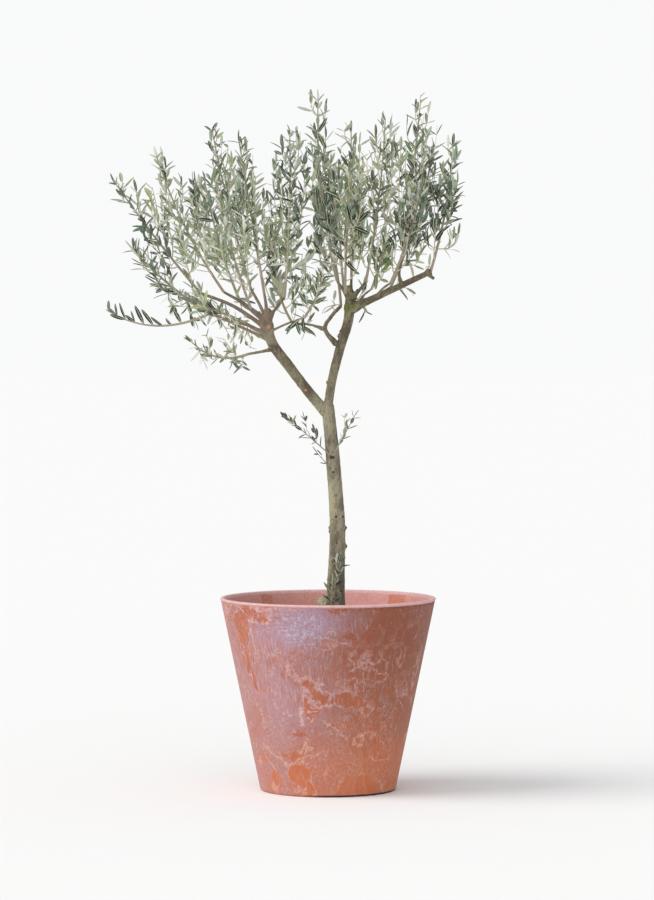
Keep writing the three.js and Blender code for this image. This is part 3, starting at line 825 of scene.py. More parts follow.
# Knots and scars: the limb, the height, the angle round it from the front, the radius, and the kind.
# A hollow is a dark pit, an eye a ringed scar with wood in it, a boss a stub that has healed over, a
# lump a bump, a stain bare wood that shows through, and a cut a sawn face.
KNOTS = [
    ("trunk", 0.668, -14, 0.0044, "hollow"),
    ("trunk", 0.668, 6, 0.0036, "hollow"),
    ("trunk", 0.636, -4, 0.0040, "eye"),
    ("trunk", 0.594, -4, 0.0038, "lump"),
    ("trunk", 0.571, -6, 0.0030, "stain"),
    ("trunk", 0.566, -14, 0.0032, "stain"),
    ("trunk", 0.560, -24, 0.0034, "stain"),
    ("trunk", 0.554, -32, 0.0034, "stain"),
    ("trunk", 0.549, -38, 0.0028, "stain"),
    ("trunk", 0.5475, -8, 0.0030, "hollow"),
    ("trunk", 0.5465, 46, 0.0044, "eye"),
    ("trunk", 0.527, -10, 0.0014, "hollow"),
    ("trunk", 0.526, 82, 0.0044, "boss"),
    ("trunk", 0.524, -84, 0.0036, "boss"),
    ("trunk", 0.516, -80, 0.0034, "boss"),
    ("trunk", 0.496, -4, 0.0018, "hollow"),
    ("trunk", 0.488, 80, 0.0052, "boss"),
    ("trunk", 0.456, -22, 0.0056, "eye"),
    ("trunk", 0.396, 36, 0.0024, "hollow"),
    ("trunk", 0.386, -16, 0.0030, "hollow"),
    ("trunk", 0.470, 150, 0.0050, "eye"),
    ("trunk", 0.602, -142, 0.0040, "lump"),
    ("trunk", 0.640, 168, 0.0046, "eye"),
    ("trunk", 0.560, 122, 0.0026, "hollow"),
    ("trunk", 0.522, -158, 0.0044, "lump"),
    ("trunk", 0.700, 132, 0.0040, "eye"),
    ("left_bough", 0.798, -18, 0.0026, "cut"),
    ("left_bough", 0.807, -62, 0.0030, "lump"),
    ("left_bough", 0.926, 4, 0.0042, "cut"),
    ("left_bough", 0.860, 150, 0.0040, "eye"),
    ("right_bough", 0.915, -80, 0.0042, "lump"),
    ("right_bough", 0.880, 20, 0.0026, "eye"),
    ("right_bough", 0.845, 140, 0.0034, "eye"),
    ("right_limb", 1.028, 80, 0.0060, "cut"),
]


def through(points, count):
    """Evenly spaced points on the centripetal curve through a list of points."""
    p = np.array(points, float)
    p = np.vstack([2 * p[0] - p[1], p, 2 * p[-1] - p[-2]])
    gaps = np.maximum(np.sqrt(np.linalg.norm(np.diff(p, axis=0), axis=1)), 1e-6)
    t = np.linspace(0, 1, 80, endpoint=False)[:, None]
    runs = []
    for i in range(1, len(p) - 2):
        before, here, after = gaps[i - 1 : i + 2]
        a, b, c, d = p[i - 1 : i + 3]
        leave = (b - a) / before - (c - a) / (before + here) + (c - b) / here
        reach = (c - b) / here - (d - b) / (here + after) + (d - c) / after
        leave, reach = leave * here, reach * here
        bend = -3 * b + 3 * c - 2 * leave - reach
        twist = 2 * b - 2 * c + leave + reach
        runs.append(b + leave * t + bend * t**2 + twist * t**3)
    return spaced(np.vstack([*runs, p[-2]]), count)


def spaced(line, count):
    """The same line as points an even way apart."""
    far = np.concatenate([[0], np.cumsum(np.linalg.norm(np.diff(line, axis=0), axis=1))])
    at = np.linspace(0, far[-1], count)
    return np.stack([np.interp(at, far, line[:, k]) for k in range(3)], axis=1)


def length_of(line):
    return float(np.linalg.norm(np.diff(line, axis=0), axis=1).sum())


def tube(line, radii, sides):
    """A closed round tube along a line, as vertices and faces."""
    ahead = np.gradient(line, axis=0)
    ahead /= np.linalg.norm(ahead, axis=1)[:, None]
    across = np.cross(ahead[0], (0, 0, 1) if abs(ahead[0][2]) < 0.9 else (1, 0, 0))
    angles = np.linspace(0, 2 * math.pi, sides, endpoint=False)
    rings = []
    for point, direction, radius in zip(line, ahead, radii):
        across = across - direction * across.dot(direction)
        across /= np.linalg.norm(across)
        up = np.cross(direction, across)
        rings.append(point + radius * (np.outer(np.cos(angles), across) + np.outer(np.sin(angles), up)))
    vertices = np.vstack([*rings, line[:1], line[-1:]])
    last = (len(line) - 1) * sides
    faces = []
    for i in range(sides):
        j = (i + 1) % sides
        faces += [(row + i, row + j, row + sides + j, row + sides + i) for row in range(0, last, sides)]
        faces += [(last + sides, j, i), (last + sides + 1, last + i, last + j)]
    return vertices, faces


class Heap:
    """Vertices and faces of many closed bodies, gathered for one mesh."""

    def __init__(self):
        self.vertices = []
        self.faces = []
        self.marks = []
        self.count = 0

    def put(self, vertices, faces, mark=0):
        self.faces += [tuple(i + self.count for i in face) for face in faces]
        self.marks += [mark] * len(faces)
        self.vertices.append(vertices)
        self.count += len(vertices)

    def build(self, name, materials):
        obj = new_object(name, np.vstack(self.vertices).tolist(), self.faces, materials)
        obj.data.polygons.foreach_set("material_index", self.marks)
        return obj


def limb_radii(name, count):
    _, root, tip = LIMBS[name]
    t = np.linspace(0, 1, count)
    radii = root + (tip - root) * t
    if name == "trunk":
        height = np.maximum(0, t * (FORK_Z - GROUND + SUNK) - SUNK)
        radii += FLARE["radius"] * np.exp(-height / FLARE["height"])
    return radii


limb_lines = {name: through(points, 60) for name, (points, _, _) in LIMBS.items()}
MAIN = ("trunk", "left_bough", "right_bough")
SAWN_END = np.array([1.0, -0.1, 0.35]) / 1.064  # the way that the cut end of the right limb faces
# Where moss lies thickest: a place, how far it spreads and how thick it is.
MOSSY_HEAD = ((0.036, 0.016, 0.972), 0.030, 1.3)
MOSSY_FOOT = ((-0.016, -0.010, 0.362), 0.022, 0.9)


def ball(centre, radii):
    """A closed rounded lump, as vertices and faces."""
    made = bmesh.new()
    bmesh.ops.create_icosphere(made, subdivisions=3, radius=1)
    vertices = np.array([v.co for v in made.verts]) * radii + centre
    faces = [tuple(v.index for v in face.verts) for face in made.faces]
    made.free()
    return vertices, faces


def rough_wood():
    heap = Heap()
    for name, line in limb_lines.items():
        radii = limb_radii(name, len(line))
        if name not in MAIN:
            far = np.linspace(0, length_of(line), len(line)) - COLLAR["first"]
            fall = np.exp(-((np.maximum(0, far) / COLLAR["last"]) ** 1.2))
            radii = radii * (1 + COLLAR["swell"] * fall)
        heap.put(*tube(line, radii, 20))
    heap.put(*ball(BURL["centre"], BURL["radii"]))
    for centre, radii in HEADS:
        heap.put(*ball(centre, radii))
    for start, end, root, tip in STUBS:
        heap.put(*tube(np.linspace(start, end, 6), np.linspace(root, tip, 6), 14))
    return heap.build("wood_rough", [])


def fused(rough, name):
    """The rough bodies as one skin."""
    skin = rough.modifiers.new("skin", "REMESH")
    skin.mode = "VOXEL"
    skin.voxel_size = VOXEL
    soften = rough.modifiers.new("soften", "SMOOTH")
    soften.factor = 0.5
    soften.iterations = 4
    graph = bpy.context.evaluated_depsgraph_get()
    mesh = bpy.data.meshes.new_from_object(rough.evaluated_get(graph), depsgraph=graph)
    bpy.data.objects.remove(rough)
    obj = bpy.data.objects.new(name, mesh)
    bpy.context.collection.objects.link(obj)
    return obj


def knot_places():
    for limb, height, degrees, radius, kind in KNOTS:
        line = limb_lines[limb]
        at = int(np.argmin(np.abs(line[:, 2] - height)))
        out = np.array([math.sin(math.radians(degrees)), -math.cos(math.radians(degrees)), 0])
        if limb == "right_limb":
            out = SAWN_END
            at = len(line) - 1
        thick = limb_radii(limb, len(line))[at]
        yield line[at] + out * thick, radius, kind


def bell(far, middle, width):
    return np.exp(-((far - middle) ** 2) / width)


def moss_spot(place, centre, spread, thick):
    return thick * np.exp(-(np.linalg.norm(place - centre, axis=1) / spread) ** 2)


def wrinkled(obj):
    """Bark relief, moved out along the skin, with each point's share of moss (raised on the left as painted
    light), scar and sawn wood.
    """
    mesh = obj.data
    count = len(mesh.vertices)
    place = np.empty(count * 3)
    facing = np.empty(count * 3)
    mesh.vertices.foreach_get("co", place)
    mesh.vertices.foreach_get("normal", facing)
    place, facing = place.reshape(-1, 3), facing.reshape(-1, 3)
    relief = np.empty(count)
    moss = np.empty(count)
    for i, (x, y, z) in enumerate(place.tolist()):
        wide = noise.noise(Vector((x * 40, y * 40, z * 11)))
        fine = noise.noise(Vector((x * 190, y * 190, z * 110)))
        ribs = noise.noise(Vector((x * 120, y * 120, z * 16 + 2)))
        cracks = abs(noise.noise(Vector((x * 130, y * 130, z * 42 + 5))))
        relief[i] = 0.00070 * wide + 0.00036 * fine + 0.00045 * ribs
        relief[i] -= 0.0004 * max(0.0, 0.22 - cracks) / 0.22
        warty = max(0.0, 1.0 - (Vector((x, y, z)) - Vector(BURL["centre"])).length / 0.034)
        if warty:
            lumps = noise.noise(Vector((x * 150, y * 150, z * 150)))
            relief[i] += min(1.0, 2.5 * warty) * (0.0030 * lumps - 0.0006)
        moss[i] = noise.noise(Vector((x * 25, y * 25, z * 14 + 9)))
    scar = np.zeros(count)
    sawn = np.zeros(count)
    ring = np.zeros(count)
    thin = np.clip(1.2 - np.abs(place[:, 0]) / 0.12, 0.25, 1) * np.where(place[:, 2] > 1.0, 0.4, 1)
    relief *= thin
    for centre, radius, kind in knot_places():
        far = np.linalg.norm(place - centre, axis=1) / radius
        if kind == "hollow":
            relief += radius * (0.10 * bell(far, 1.3, 0.18) - 0.55 * bell(far, 0, 0.5))
            scar = np.maximum(scar, np.exp(-((far / 0.95) ** 4)))
            ring = np.maximum(ring, 0.6 * bell(far, 1.5, 0.08))
        elif kind == "eye":
            relief += radius * (0.40 * bell(far, 0.95, 0.12) - 0.25 * bell(far, 0, 0.2))
            scar = np.maximum(scar, 0.95 * bell(far, 0.45, 0.07))
            sawn = np.maximum(sawn, 0.45 * bell(far, 0, 0.06))
            ring = np.maximum(ring, bell(far, 1.05, 0.05))
        elif kind == "boss":
            relief += radius * 0.85 * bell(far, 0, 0.9)
            scar = np.maximum(scar, 0.75 * bell(far, 0.55, 0.10))
            ring = np.maximum(ring, 0.7 * bell(far, 1.1, 0.06))
        elif kind == "lump":
            relief += radius * 0.60 * bell(far, 0, 0.9)
            scar = np.maximum(scar, 0.55 * bell(far, 0, 0.35))
        elif kind == "stain":
            sawn = np.maximum(sawn, 0.34 * bell(far, 0, 0.8))
        else:
            relief += radius * (0.30 * bell(far, 1.15, 0.08) - 0.10 * np.exp(-(far**4)))
            sawn = np.maximum(sawn, 1 / (1 + np.exp(9 * (far - 1.0))))
    place += facing * relief[:, None]
    # the flat cut sits in the compost
    place[:, 2] = np.maximum(place[:, 2], GROUND - 0.007)
    mesh.vertices.foreach_set("co", place.ravel())
    # painted light: pale lichen laid thicker on the bark that faces left, towards the lamp, over moss and
    # lichen by noise
    moss_and_lit_side = 0.5 + 1.2 * moss - 0.40 * facing[:, 0]
    head = moss_spot(place, *MOSSY_HEAD) * (facing[:, 0] < 0.3)
    moss_and_lit_side = np.clip(moss_and_lit_side + head + moss_spot(place, *MOSSY_FOOT), 0, 2)
    moss_and_lit_side = np.maximum(moss_and_lit_side, 1.25 * ring)
    for name, values in (("moss", moss_and_lit_side), ("scar", scar), ("sawn", sawn)):
        mesh.attributes.new(name, "FLOAT", "POINT").data.foreach_set("value", values)
    mesh.update()


# The colours of the bark, in pairs where they are mottled.
BARK = (paint(112, 104, 88), paint(156, 148, 126))
HEAD_BARK = (paint(104, 88, 80), paint(166, 146, 132))
DEAD_BARK = (paint(104, 96, 82), paint(190, 176, 154))
SAWN_WOOD = (paint(176, 118, 78), paint(222, 172, 132))
LICHEN = paint(174, 170, 136)
MOSS = paint(122, 132, 56)
CRACKS = paint(80, 74, 60)
PORES = paint(182, 174, 148)
SCAR = paint(42, 36, 32)
BOUGH_SHADE = (0.76, 0.72, 0.68, 1)


def bark_finish():
    material, nodes = new_material("olive_bark")
    place = nodes.place()
    moss, scar, sawn = (
        nodes.add("ShaderNodeAttribute", {"attribute_name": name}, {}, "Fac")
        for name in ("moss", "scar", "sawn")
    )
    tall = nodes.vector("MULTIPLY", place, (1.0, 1.0, 0.35))
    patches = nodes.noise(tall, 60.0, 4.0, 0.6)
    fine = nodes.noise(tall, 420.0, 4.0, 0.65)
    colour = nodes.mix(patches.between(0.42, 0.58), *BARK)
    # pale lichen, partly real and partly painted light on the side facing the lamp
    colour = nodes.mix(moss.between(0.35, 1.35) * 0.85, colour, LICHEN)
    colour = nodes.mix(moss.between(1.3, 1.9) * 0.8, colour, MOSS)
    colour = nodes.mix(fine.between(0.50, 0.36) * 0.65, colour, CRACKS)
    # painted shade makes the boughs duller than the trunk, and the left head is pinker, with a pale collar
    # under it
    x = nodes.add("ShaderNodeSeparateXYZ", {}, {0: place}, "X")
    z = x.output("Z")
    shaded_bough = nodes.mix(1.0, colour, BOUGH_SHADE, "MULTIPLY")
    colour = nodes.mix(z.between(0.765, 0.80), colour, shaded_bough)
    young = x.between(-0.09, -0.125) * z.between(0.905, 0.925)
    colour = nodes.mix(young * 0.7, colour, nodes.mix(patches, *HEAD_BARK))
    collar = z.between(0.886, 0.894) * z.between(0.926, 0.916) * x.between(-0.09, -0.10)
    colour = nodes.mix(collar * 0.7, colour, nodes.mix(fine, *DEAD_BARK))
    pores = nodes.add("ShaderNodeTexVoronoi", {}, {"Vector": tall, "Scale": 210.0}, "Distance")
    colour = nodes.mix(pores.between(0.22, 0.08) * 0.4, colour, PORES)
    colour = nodes.mix(sawn, colour, nodes.mix(fine, *SAWN_WOOD))
    colour = nodes.mix(scar, colour, SCAR)
    nodes.finish(colour, 0.82, (fine * 0.6 + patches * 0.4, 0.8, 0.0012))
    return material


wood = fused(rough_wood(), "stem_and_boughs")
wrinkled(wood)
wood.data.materials.clear()
wood.data.materials.append(bark_finish())
wood.data.shade_smooth()
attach(wood, "root")
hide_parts(*LIMBS)


# ---- shoots and leaves ----
# The crown is this and last year's growth: from the end of each limb a leader runs to the edge of
# the crown, side shoots curve up from it and finer twigs from those, all with paired leaves.
# Each mass: its limb, its furthest point, its breadth and its habits. It can follow its limb's
# direction for a share of its length, sag, hang a share of its shoots, thin them by widening the gap
# between them, be sparse by a share of its leaves, have a leaf of another size, be bare, with leaves
# on its leader alone, and have a root on the trunk.
MASSES = {
    "far_left_spray": (
        "left_limb_trail", (-0.456, -0.110, 0.972), 0.044,
        {"follow": 0.1, "sag": 0.062, "leaf": 0.8, "bare": True},
    ),
    "low_left_spray": (
        "left_limb_low", (-0.286, -0.070, 0.912), 0.060,
        {"sag": 0.038, "leaf": 0.75, "hang": 0.35, "thin": 1.6},
    ),
    "left_apron": (
        "left_spur_front", (-0.296, -0.142, 0.986), 0.068,
        {"follow": 0.3, "leaf": 0.9, "hang": 0.35},
    ),
    "left_apron_back": (
        "left_spur_back", (-0.366, 0.104, 1.014), 0.070,
        {"follow": 0.3, "leaf": 0.9, "hang": 0.2},
    ),
    "left_edge": ("left_limb_outer", (-0.408, 0.006, 1.102), 0.070, {"follow": 0.42, "hang": 0.15}),
    "left_wing": ("left_limb_upper", (-0.442, 0.030, 1.236), 0.060, {"follow": 0.1}),
    "left_front": ("left_limb_inner", (-0.346, -0.084, 1.290), 0.074, {"follow": 0.3, "thin": 1.25}),
    "left_crest": ("left_shoot_tall", (-0.238, 0.062, 1.348), 0.074, {"sparse": 0.3}),
    "left_hollow": ("left_shoot_middle", (-0.182, -0.026, 1.324), 0.074, {"thin": 1.3, "sparse": 0.25}),
    "middle_front": ("left_shoot_right", (-0.076, -0.074, 1.334), 0.086, {"follow": 0.1, "thin": 1.15}),
    "middle_spire": ("right_shoot_tall", (-0.018, 0.012, 1.408), 0.058, {"follow": 0.3}),
    "right_hollow": (
        "right_shoot_middle", (0.046, 0.076, 1.348), 0.074,
        {"follow": 0.1, "thin": 1.2, "sparse": 0.25},
    ),
    "right_front": ("right_shoot_right", (0.114, -0.064, 1.366), 0.076, {"thin": 1.15, "sparse": 0.35}),
    "right_crest": ("right_riser", (0.188, 0.044, 1.408), 0.076, {"sparse": 0.4}),
    "right_edge": ("right_limb", (0.250, -0.010, 1.318), 0.054, {"follow": 0.15}),
    "right_low_front": ("right_spur_front", (0.190, -0.128, 1.226), 0.072, {"follow": 0.3}),
    "right_apron": ("right_spur_low", (0.120, -0.150, 1.130), 0.066, {"follow": 0.3}),
    "right_low_back": ("right_spur_back", (0.216, 0.118, 1.306), 0.076, {"follow": 0.3, "sparse": 0.2}),
    "low_middle_front": ("left_shoot_cross", (-0.006, -0.150, 1.050), 0.070, {"follow": 0.3}),
    "low_middle_back": ("inner_limb_left", (-0.104, 0.150, 1.160), 0.078, {"follow": 0.4}),
    "heart": ("inner_limb", (-0.034, 0.024, 1.216), 0.076, {}),
    "front_left": ("left_limb_front", (-0.224, -0.206, 1.240), 0.084, {"follow": 0.3, "thin": 1.5}),
    "front_right": ("right_limb_front", (0.052, -0.226, 1.266), 0.088, {"follow": 0.3, "thin": 1.25}),
    "back_left": ("left_limb_back", (-0.256, 0.200, 1.250), 0.088, {"follow": 0.3, "thin": 1.5}),
    "back_right": ("right_limb_back", (0.024, 0.236, 1.276), 0.092, {"follow": 0.3, "thin": 1.4}),
    "sprout_left": (
        "trunk", (-0.098, -0.040, 0.760), 0.032,
        {"root": (0.004, -0.010, 0.670), "leaf": 0.66},
    ),
    "sprout_right": (
        "trunk", (0.062, -0.036, 0.764), 0.032,
        {"root": (0.009, -0.010, 0.667), "leaf": 0.66},
    ),
    "sprout_low": ("trunk", (-0.034, -0.014, 0.688), 0.024, {"root": (0.006, -0.004, 0.642), "leaf": 0.66}),
    "sprout_foot": ("trunk", (0.032, -0.042, 0.484), 0.026, {"root": (0.004, -0.022, 0.364), "leaf": 0.8}),
}
FOLLOW = 0.2
END_LEAF = 0.030  # what the leader leaves free for the leaf at its end
CLEAR = 0.97  # a mass keeps this share of the way to its neighbours
POINTED = 0.6  # and narrows to its furthest point by this share
UP = np.array([0.0, 0.0, 1.0])
FACING = np.array([0.0, 1.6, 0.0])  # turns the leaves of a bare spray to the front
SHOOT = {
    "step": 0.0200,  # from one to the next
    "least": 9,  # on a leader
    "first": 0.0,  # as shares of the leader
    "last": 0.95,
    "side": 0.50,  # of its reach, before it bends up
    "rise": 1.0,
    "lowest": -0.3,  # the rise of the first one
    "turn": 2.4,  # round the leader, from one to the next
    "reach": 1.25,  # of the mass's breadth, for the first one
    "fall": 0.95,  # how much of that is gone at the tip
    "upright": 0.15,
}
LONG = {"each": 3, "below": 0.52, "times": 2.0}  # the upright shoots that make the crown's many tops
TWIG = {"step": 0.034, "first": 0.15, "last": 0.80, "reach": 0.72, "fall": 0.4, "upright": 0.5}
THICKNESS = [(0.0029, 0.0011, 7), (0.0014, 0.0007, 5), (0.0009, 0.0005, 4)]  # by age: radii and sides
SPROUT = {"thick": 0.5, "step": 1.3, "least": 3}
SHORTEST = 0.05  # a shoot shorter than this has no twigs
MARGIN = 0.002  # between a shoot or leaf and the limbs and the other masses
LEAF = {"length": 0.0320, "width": 0.0073, "thick": 0.0005, "lean": 0.80, "step": 0.0158}
SEED = 4100


def unit(v):
    return v / np.linalg.norm(v)


def bow(start, bend, end, count):
    t = np.linspace(0, 1, count)[:, None]
    return spaced((1 - t) ** 2 * start + 2 * t * (1 - t) * bend + t**2 * end, count)


def leader_of(limb, tip, breadth, habit):
    line = limb_lines[limb]
    start = np.array(habit["root"]) if "root" in habit else line[-1]
    ahead = unit(line[-1] - line[-2])
    reach = np.array(tip) - start
    follow = 0 if "root" in habit else habit.get("follow", FOLLOW)
    bend = start + reach * (0.5 - follow / 2) + ahead * (follow * 0.5 * np.linalg.norm(reach))
    bend[2] -= habit.get("sag", 0)
    return bow(start, bend, tip - unit(tip - bend) * END_LEAF * habit.get("leaf", 1), 33)


leaders = {name: leader_of(*mass) for name, mass in MASSES.items()}
mass_axes = {name: np.vstack([leaders[name][::4], tip]) for name, (_, tip, _, _) in MASSES.items()}
breadths = {name: breadth for name, (_, _, breadth, _) in MASSES.items()}
limb_guards = [
    (spaced(line, 9), max(limb_radii(name, len(line))[6], LIMBS[name][2]))
    for name, line in limb_lines.items()
]


def distance_to(line, points):
    steps = np.diff(line, axis=0)
    away = points[:, None] - line[:-1]
    along = np.clip((away * steps).sum(2) / (steps**2).sum(1), 0, 1)
    return np.linalg.norm(away - along[..., None] * steps, axis=2).min(1)


def in_own_space(name, points):
    """Which points are in a mass's own space: within its breadth and its pointed end, nearer to its
    axis than to any other mass's, and off every limb."""
    axis = mass_axes[name]
    own = distance_to(axis, points) / breadths[name]
    back = axis[-1] - points
    far = back @ unit(axis[-1] - axis[-2])
    kept = (own <= 1) & (far >= POINTED * np.sqrt(np.maximum(0, (back**2).sum(1) - far**2)))
    for other, breadth in breadths.items():
        if other != name:
            kept &= own <= CLEAR * (distance_to(mass_axes[other], points) - MARGIN) / breadth
    for line, radius in limb_guards:
        kept &= distance_to(line, points) > radius + MARGIN
    return kept


def sideways(axis, turn):
    """A direction square to the axis, turned round it."""
    across = unit(np.cross(axis, (1, 0, 0) if abs(axis[2]) > 0.9 else UP))
    return across * math.cos(turn) + np.cross(unit(axis), across) * math.sin(turn)


def at_share(line, t):
    """The point and the direction at a share of a line's length."""
    where = t * (len(line) - 1)
    i = min(int(where), len(line) - 2)
    step = line[i + 1] - line[i]
    return line[i] + step * (where - i), unit(step)


def side_shoots(name, parent, draw, rule, size):
    """Shoots that curve up from their parent and keep to the mass's own space. Their reach is a share
    of the size."""
    habit = MASSES[name][3]
    thin = habit.get("thin", 1)
    hang = habit.get("hang", 0)
    span = rule["last"] - rule["first"]
    step = rule["step"] * thin
    fewest = round(rule.get("least", 1) / thin)
    count = max(fewest, round(length_of(parent) * span / step))
    upright = rule["upright"]
    for i in range(count):
        t = rule["first"] + span * (i + draw() / 2) / count
        start, along = at_share(parent, t)
        side = sideways(along, SHOOT["turn"] * i + draw())
        reach = size * (rule["reach"] - rule["fall"] * t) * (0.75 + 0.5 * draw())
        long = rule is SHOOT and i % LONG["each"] == 1 and t < LONG["below"]
        lift = 1 if long or rule is not SHOOT else min(1, SHOOT["lowest"] + 5 * t)
        rise = SHOOT["rise"] * lift * (LONG["times"] if long else 1)
        if hang and draw() < hang:
            rise = -rise
        for _ in range(4):
            out = start + side * SHOOT["side"] * (2 - lift) * reach
            bend = out + along * 0.1 * reach
            end = out + (along * (1 - upright) + UP * (1 + upright)) * 0.5 * rise * reach
            line = bow(start, bend, end, 15 if long else 9)
            if in_own_space(name, line[2::2]).all():
                yield line
                break
            reach *= 0.76


def leaf_pairs(line, size, first, draw, tint, skip, lift=0.0):
    """Opposite pairs of leaves along a line, each a quarter turn from the last, and one at its end."""
    count = max(1, round(length_of(line) / (max(size, 0.8) * LEAF["step"])))
    quarter = math.pi / 2
    for k in range(1, count + 1):
        t = k / (count + 0.35)
        spin = k * quarter + draw()
        point, along = at_share(line, t)
        for half in (0, 2 * quarter):
            lean = LEAF["lean"] * (0.55 + 0.85 * draw())
            direction = along * math.cos(lean) + sideways(along, spin + half) * math.sin(lean)
            grown = size * (0.72 + 0.5 * draw()) * (1 - 0.25 * t**3)
            if t > first and draw() > skip:
                yield point, unit(direction + UP * lift), along - FACING * lift, grown, tint
    point, along = at_share(line, 0.98)
    yield point, along, sideways(along, draw() * 4 * quarter), 0.85 * size, tint


# The tints of the leaves, above and below: from dark to pale, two young ones, and the one that most
# leaves of the sprouts and of the bare spray have. The shares say how often a spray has each of the
# first six.
TOPS = [
    paint(16, 34, 26),
    paint(42, 64, 46),
    paint(88, 104, 72),
    paint(134, 147, 108),
    paint(156, 166, 112),
    paint(70, 112, 54),
    paint(30, 54, 40),
]
UNDERS = [
    paint(120, 138, 120),
    paint(168, 182, 158),
    paint(204, 211, 192),
    paint(216, 220, 204),
    paint(208, 210, 180),
    paint(180, 198, 158),
    paint(96, 120, 100),
]
TINT_SHARES = np.cumsum([0.17, 0.24, 0.25, 0.21, 0.09, 0.04])
RIBS = paint(196, 202, 166)


def plain(name, colour, roughness):
    material, nodes = new_material(name)
    nodes.finish(colour, roughness)
    return material


leaf_materials = [plain(f"leaf_top_{i}", colour, 0.42) for i, colour in enumerate(TOPS)]
leaf_materials += [plain(f"leaf_under_{i}", colour, 0.70) for i, colour in enumerate(UNDERS)]
leaf_materials.append(plain("leaf_rib", RIBS, 0.55))

# One leaf: rows from root to tip, with the share of its length and of its half width.
LEAF_ROWS = [(0.07, 0.28), (0.22, 0.80), (0.45, 1.0), (0.70, 0.90), (0.90, 0.54)]
RIB_SHARE = 0.11


def leaf_pattern():
    """Vertices as (along, across, under) shares, and faces with 0 for top, 1 for under, 2 for rib."""
    vertices = [(0, 0, 0)]
    for along, half in LEAF_ROWS:
        vertices += [(along, across, 0) for across in (-half, -RIB_SHARE, RIB_SHARE, half)]
        vertices.append((along, 0, 1))
    vertices.append((1, 0, 0))
    faces = []
    for row in range(len(LEAF_ROWS) + 1):
        low, high = 5 * row - 4, 5 * row + 1
        for k, kind in enumerate((0, 2, 0, 1, 1)):
            n = (k + 1) % 5
            if row == 0:
                faces.append(((0, high + n, high + k), kind))
            elif row == len(LEAF_ROWS):
                faces.append(((low + k, low + n, high), kind))
            else:
                faces.append(((low + k, low + n, high + n, high + k), kind))
    return np.array(vertices, float), faces


def leaf_mesh(name, leaves, draw):
    """All the leaves of a piece, each the same pattern with its own size, curl and fold."""
    pattern, faces = leaf_pattern()
    root, ahead, face, size, tint = (np.array(column) for column in zip(*leaves))
    across = np.cross(face, ahead)
    across /= np.linalg.norm(across, axis=1)[:, None]
    normal = np.cross(ahead, across)
    roll = (draw.random(len(root)) - 0.5)[:, None] * 1.3
    cos, sin = np.cos(roll), np.sin(roll)
    across, normal = across * cos + normal * sin, normal * cos - across * sin
    length = (size * LEAF["length"])[:, None, None]
    spread = 0.85 + 0.35 * draw.random(len(size))
    width = (np.maximum(size, 0.78) * LEAF["width"] * spread)[:, None, None] / 2
    curl = (draw.random(len(size)) * 0.34 - 0.22)[:, None, None]
    fold = (0.10 + 0.30 * draw.random(len(size)))[:, None, None]
    along, side, under = (pattern[None, :, k, None] for k in range(3))
    lift = curl * length * along**2 + fold * width * np.abs(side) - under * LEAF["thick"]
    vertices = (
        root[:, None]
        + ahead[:, None] * length * along
        + across[:, None] * width * side
        + normal[:, None] * lift
    ).reshape(-1, 3)
    step = len(pattern)
    joined = [tuple(i + n * step for i in corner) for n in range(len(root)) for corner, _ in faces]
    obj = new_object(name, vertices.tolist(), joined, leaf_materials)
    kinds = np.array([kind for _, kind in faces])
    marks = (kinds * len(TOPS))[None] + (kinds < 2) * tint[:, None]
    obj.data.polygons.foreach_set("material_index", marks.ravel().astype(np.int32))
    return obj


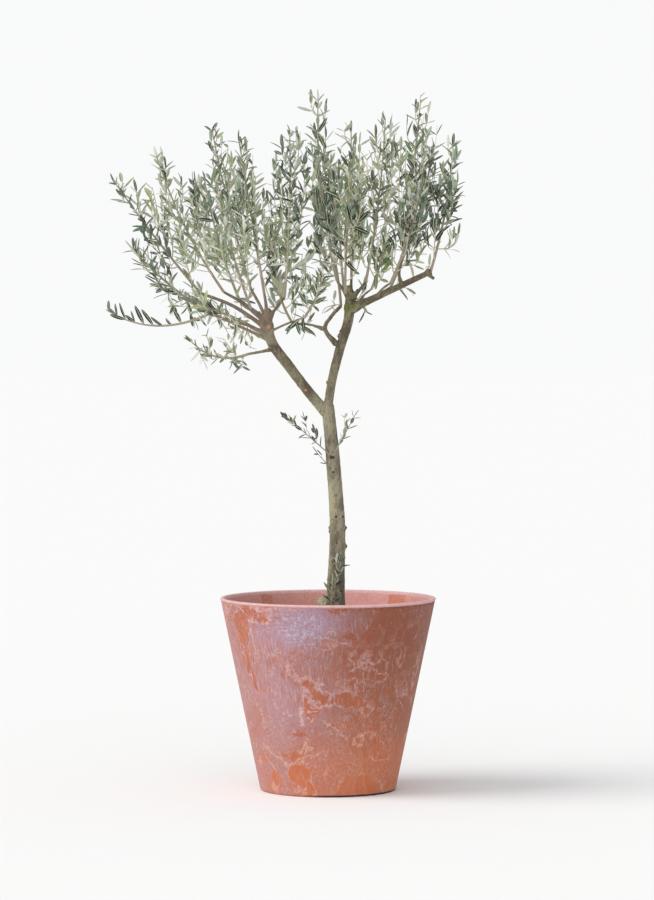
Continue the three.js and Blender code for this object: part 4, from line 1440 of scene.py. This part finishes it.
def grown_mass(name):
    """The twigs of one mass, each with its thickness and age, and its leaves."""
    _, _, breadth, habit = MASSES[name]
    draw = np.random.default_rng(SEED + 17 * list(MASSES).index(name)).random
    size = habit.get("leaf", 1)
    sprout = "root" in habit
    bare = habit.get("bare", False)
    thick = SPROUT["thick"] if sprout else 1.0
    leader = leaders[name]

    def spray_tint():
        if (sprout or bare) and draw() < 0.7:
            return len(TINT_SHARES)
        return int(np.searchsorted(TINT_SHARES, draw() * TINT_SHARES[-1]))

    twigs = [(leader, thick, 0)]
    first = 0.1 if sprout or bare else 0.3
    lift = 0.8 * bare
    leaves = list(leaf_pairs(leader, 1.2 if bare else size, first, draw, spray_tint(), 0.1, lift))
    rule = SHOOT
    if sprout:
        rule = {**SHOOT, "step": SHOOT["step"] * SPROUT["step"], "least": SPROUT["least"]}
    for shoot in [] if bare else side_shoots(name, leader, draw, rule, breadth):
        tint = spray_tint()
        twigs.append((shoot, thick, 1))
        leaves += leaf_pairs(shoot, size, 0.12, draw, tint, 0.12)
        if sprout or length_of(shoot) < SHORTEST:
            continue
        for twig in side_shoots(name, shoot, draw, TWIG, length_of(shoot)):
            twigs.append((twig, thick, 2))
            leaves += leaf_pairs(twig, size * 0.92, 0.1, draw, tint, 0.15)
    root, ahead, _, grown, _ = (np.array(column) for column in zip(*leaves))
    reach = ahead * grown[:, None] * LEAF["length"]
    kept = in_own_space(name, root + reach) & in_own_space(name, root + reach * 0.5)
    kept &= draw(len(leaves)) >= habit.get("sparse", 0)
    return twigs, [leaf for leaf, keep in zip(leaves, kept) if keep]


SIDES = {
    "left": [
        "left_edge", "left_wing", "left_front", "left_crest",
        "left_hollow", "front_left", "back_left",
    ],
    "middle": [
        "middle_front", "middle_spire", "right_hollow",
        "low_middle_front", "low_middle_back", "heart",
    ],
    "right": [
        "right_front", "right_crest", "right_edge", "right_low_front",
        "right_low_back", "right_apron", "front_right", "back_right",
    ],
    "low": ["far_left_spray", "low_left_spray", "left_apron", "left_apron_back"],
    "sprouts": ["sprout_left", "sprout_right", "sprout_low", "sprout_foot"],
}
twig_materials = [
    plain("twig_old", paint(168, 156, 136), 0.8),
    plain("twig_young", paint(206, 197, 174), 0.75),
    plain("twig_new", paint(208, 204, 176), 0.7),
]
for side, names in SIDES.items():
    heap = Heap()
    leaves = []
    for name in names:
        twigs, own_leaves = grown_mass(name)
        leaves += own_leaves
        for line, thick, age in twigs:
            root, tip, sides = THICKNESS[age]
            heap.put(*tube(line, np.linspace(root * thick, tip * thick, len(line)), sides), age)
    twig_piece = heap.build(f"twigs_{side}", twig_materials)
    leaf_piece = leaf_mesh(f"leaves_{side}", leaves, np.random.default_rng(SEED + len(side)))
    for piece, kind in ((twig_piece, "bark"), (leaf_piece, "leaf")):
        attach(piece, "root")
        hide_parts(*names)
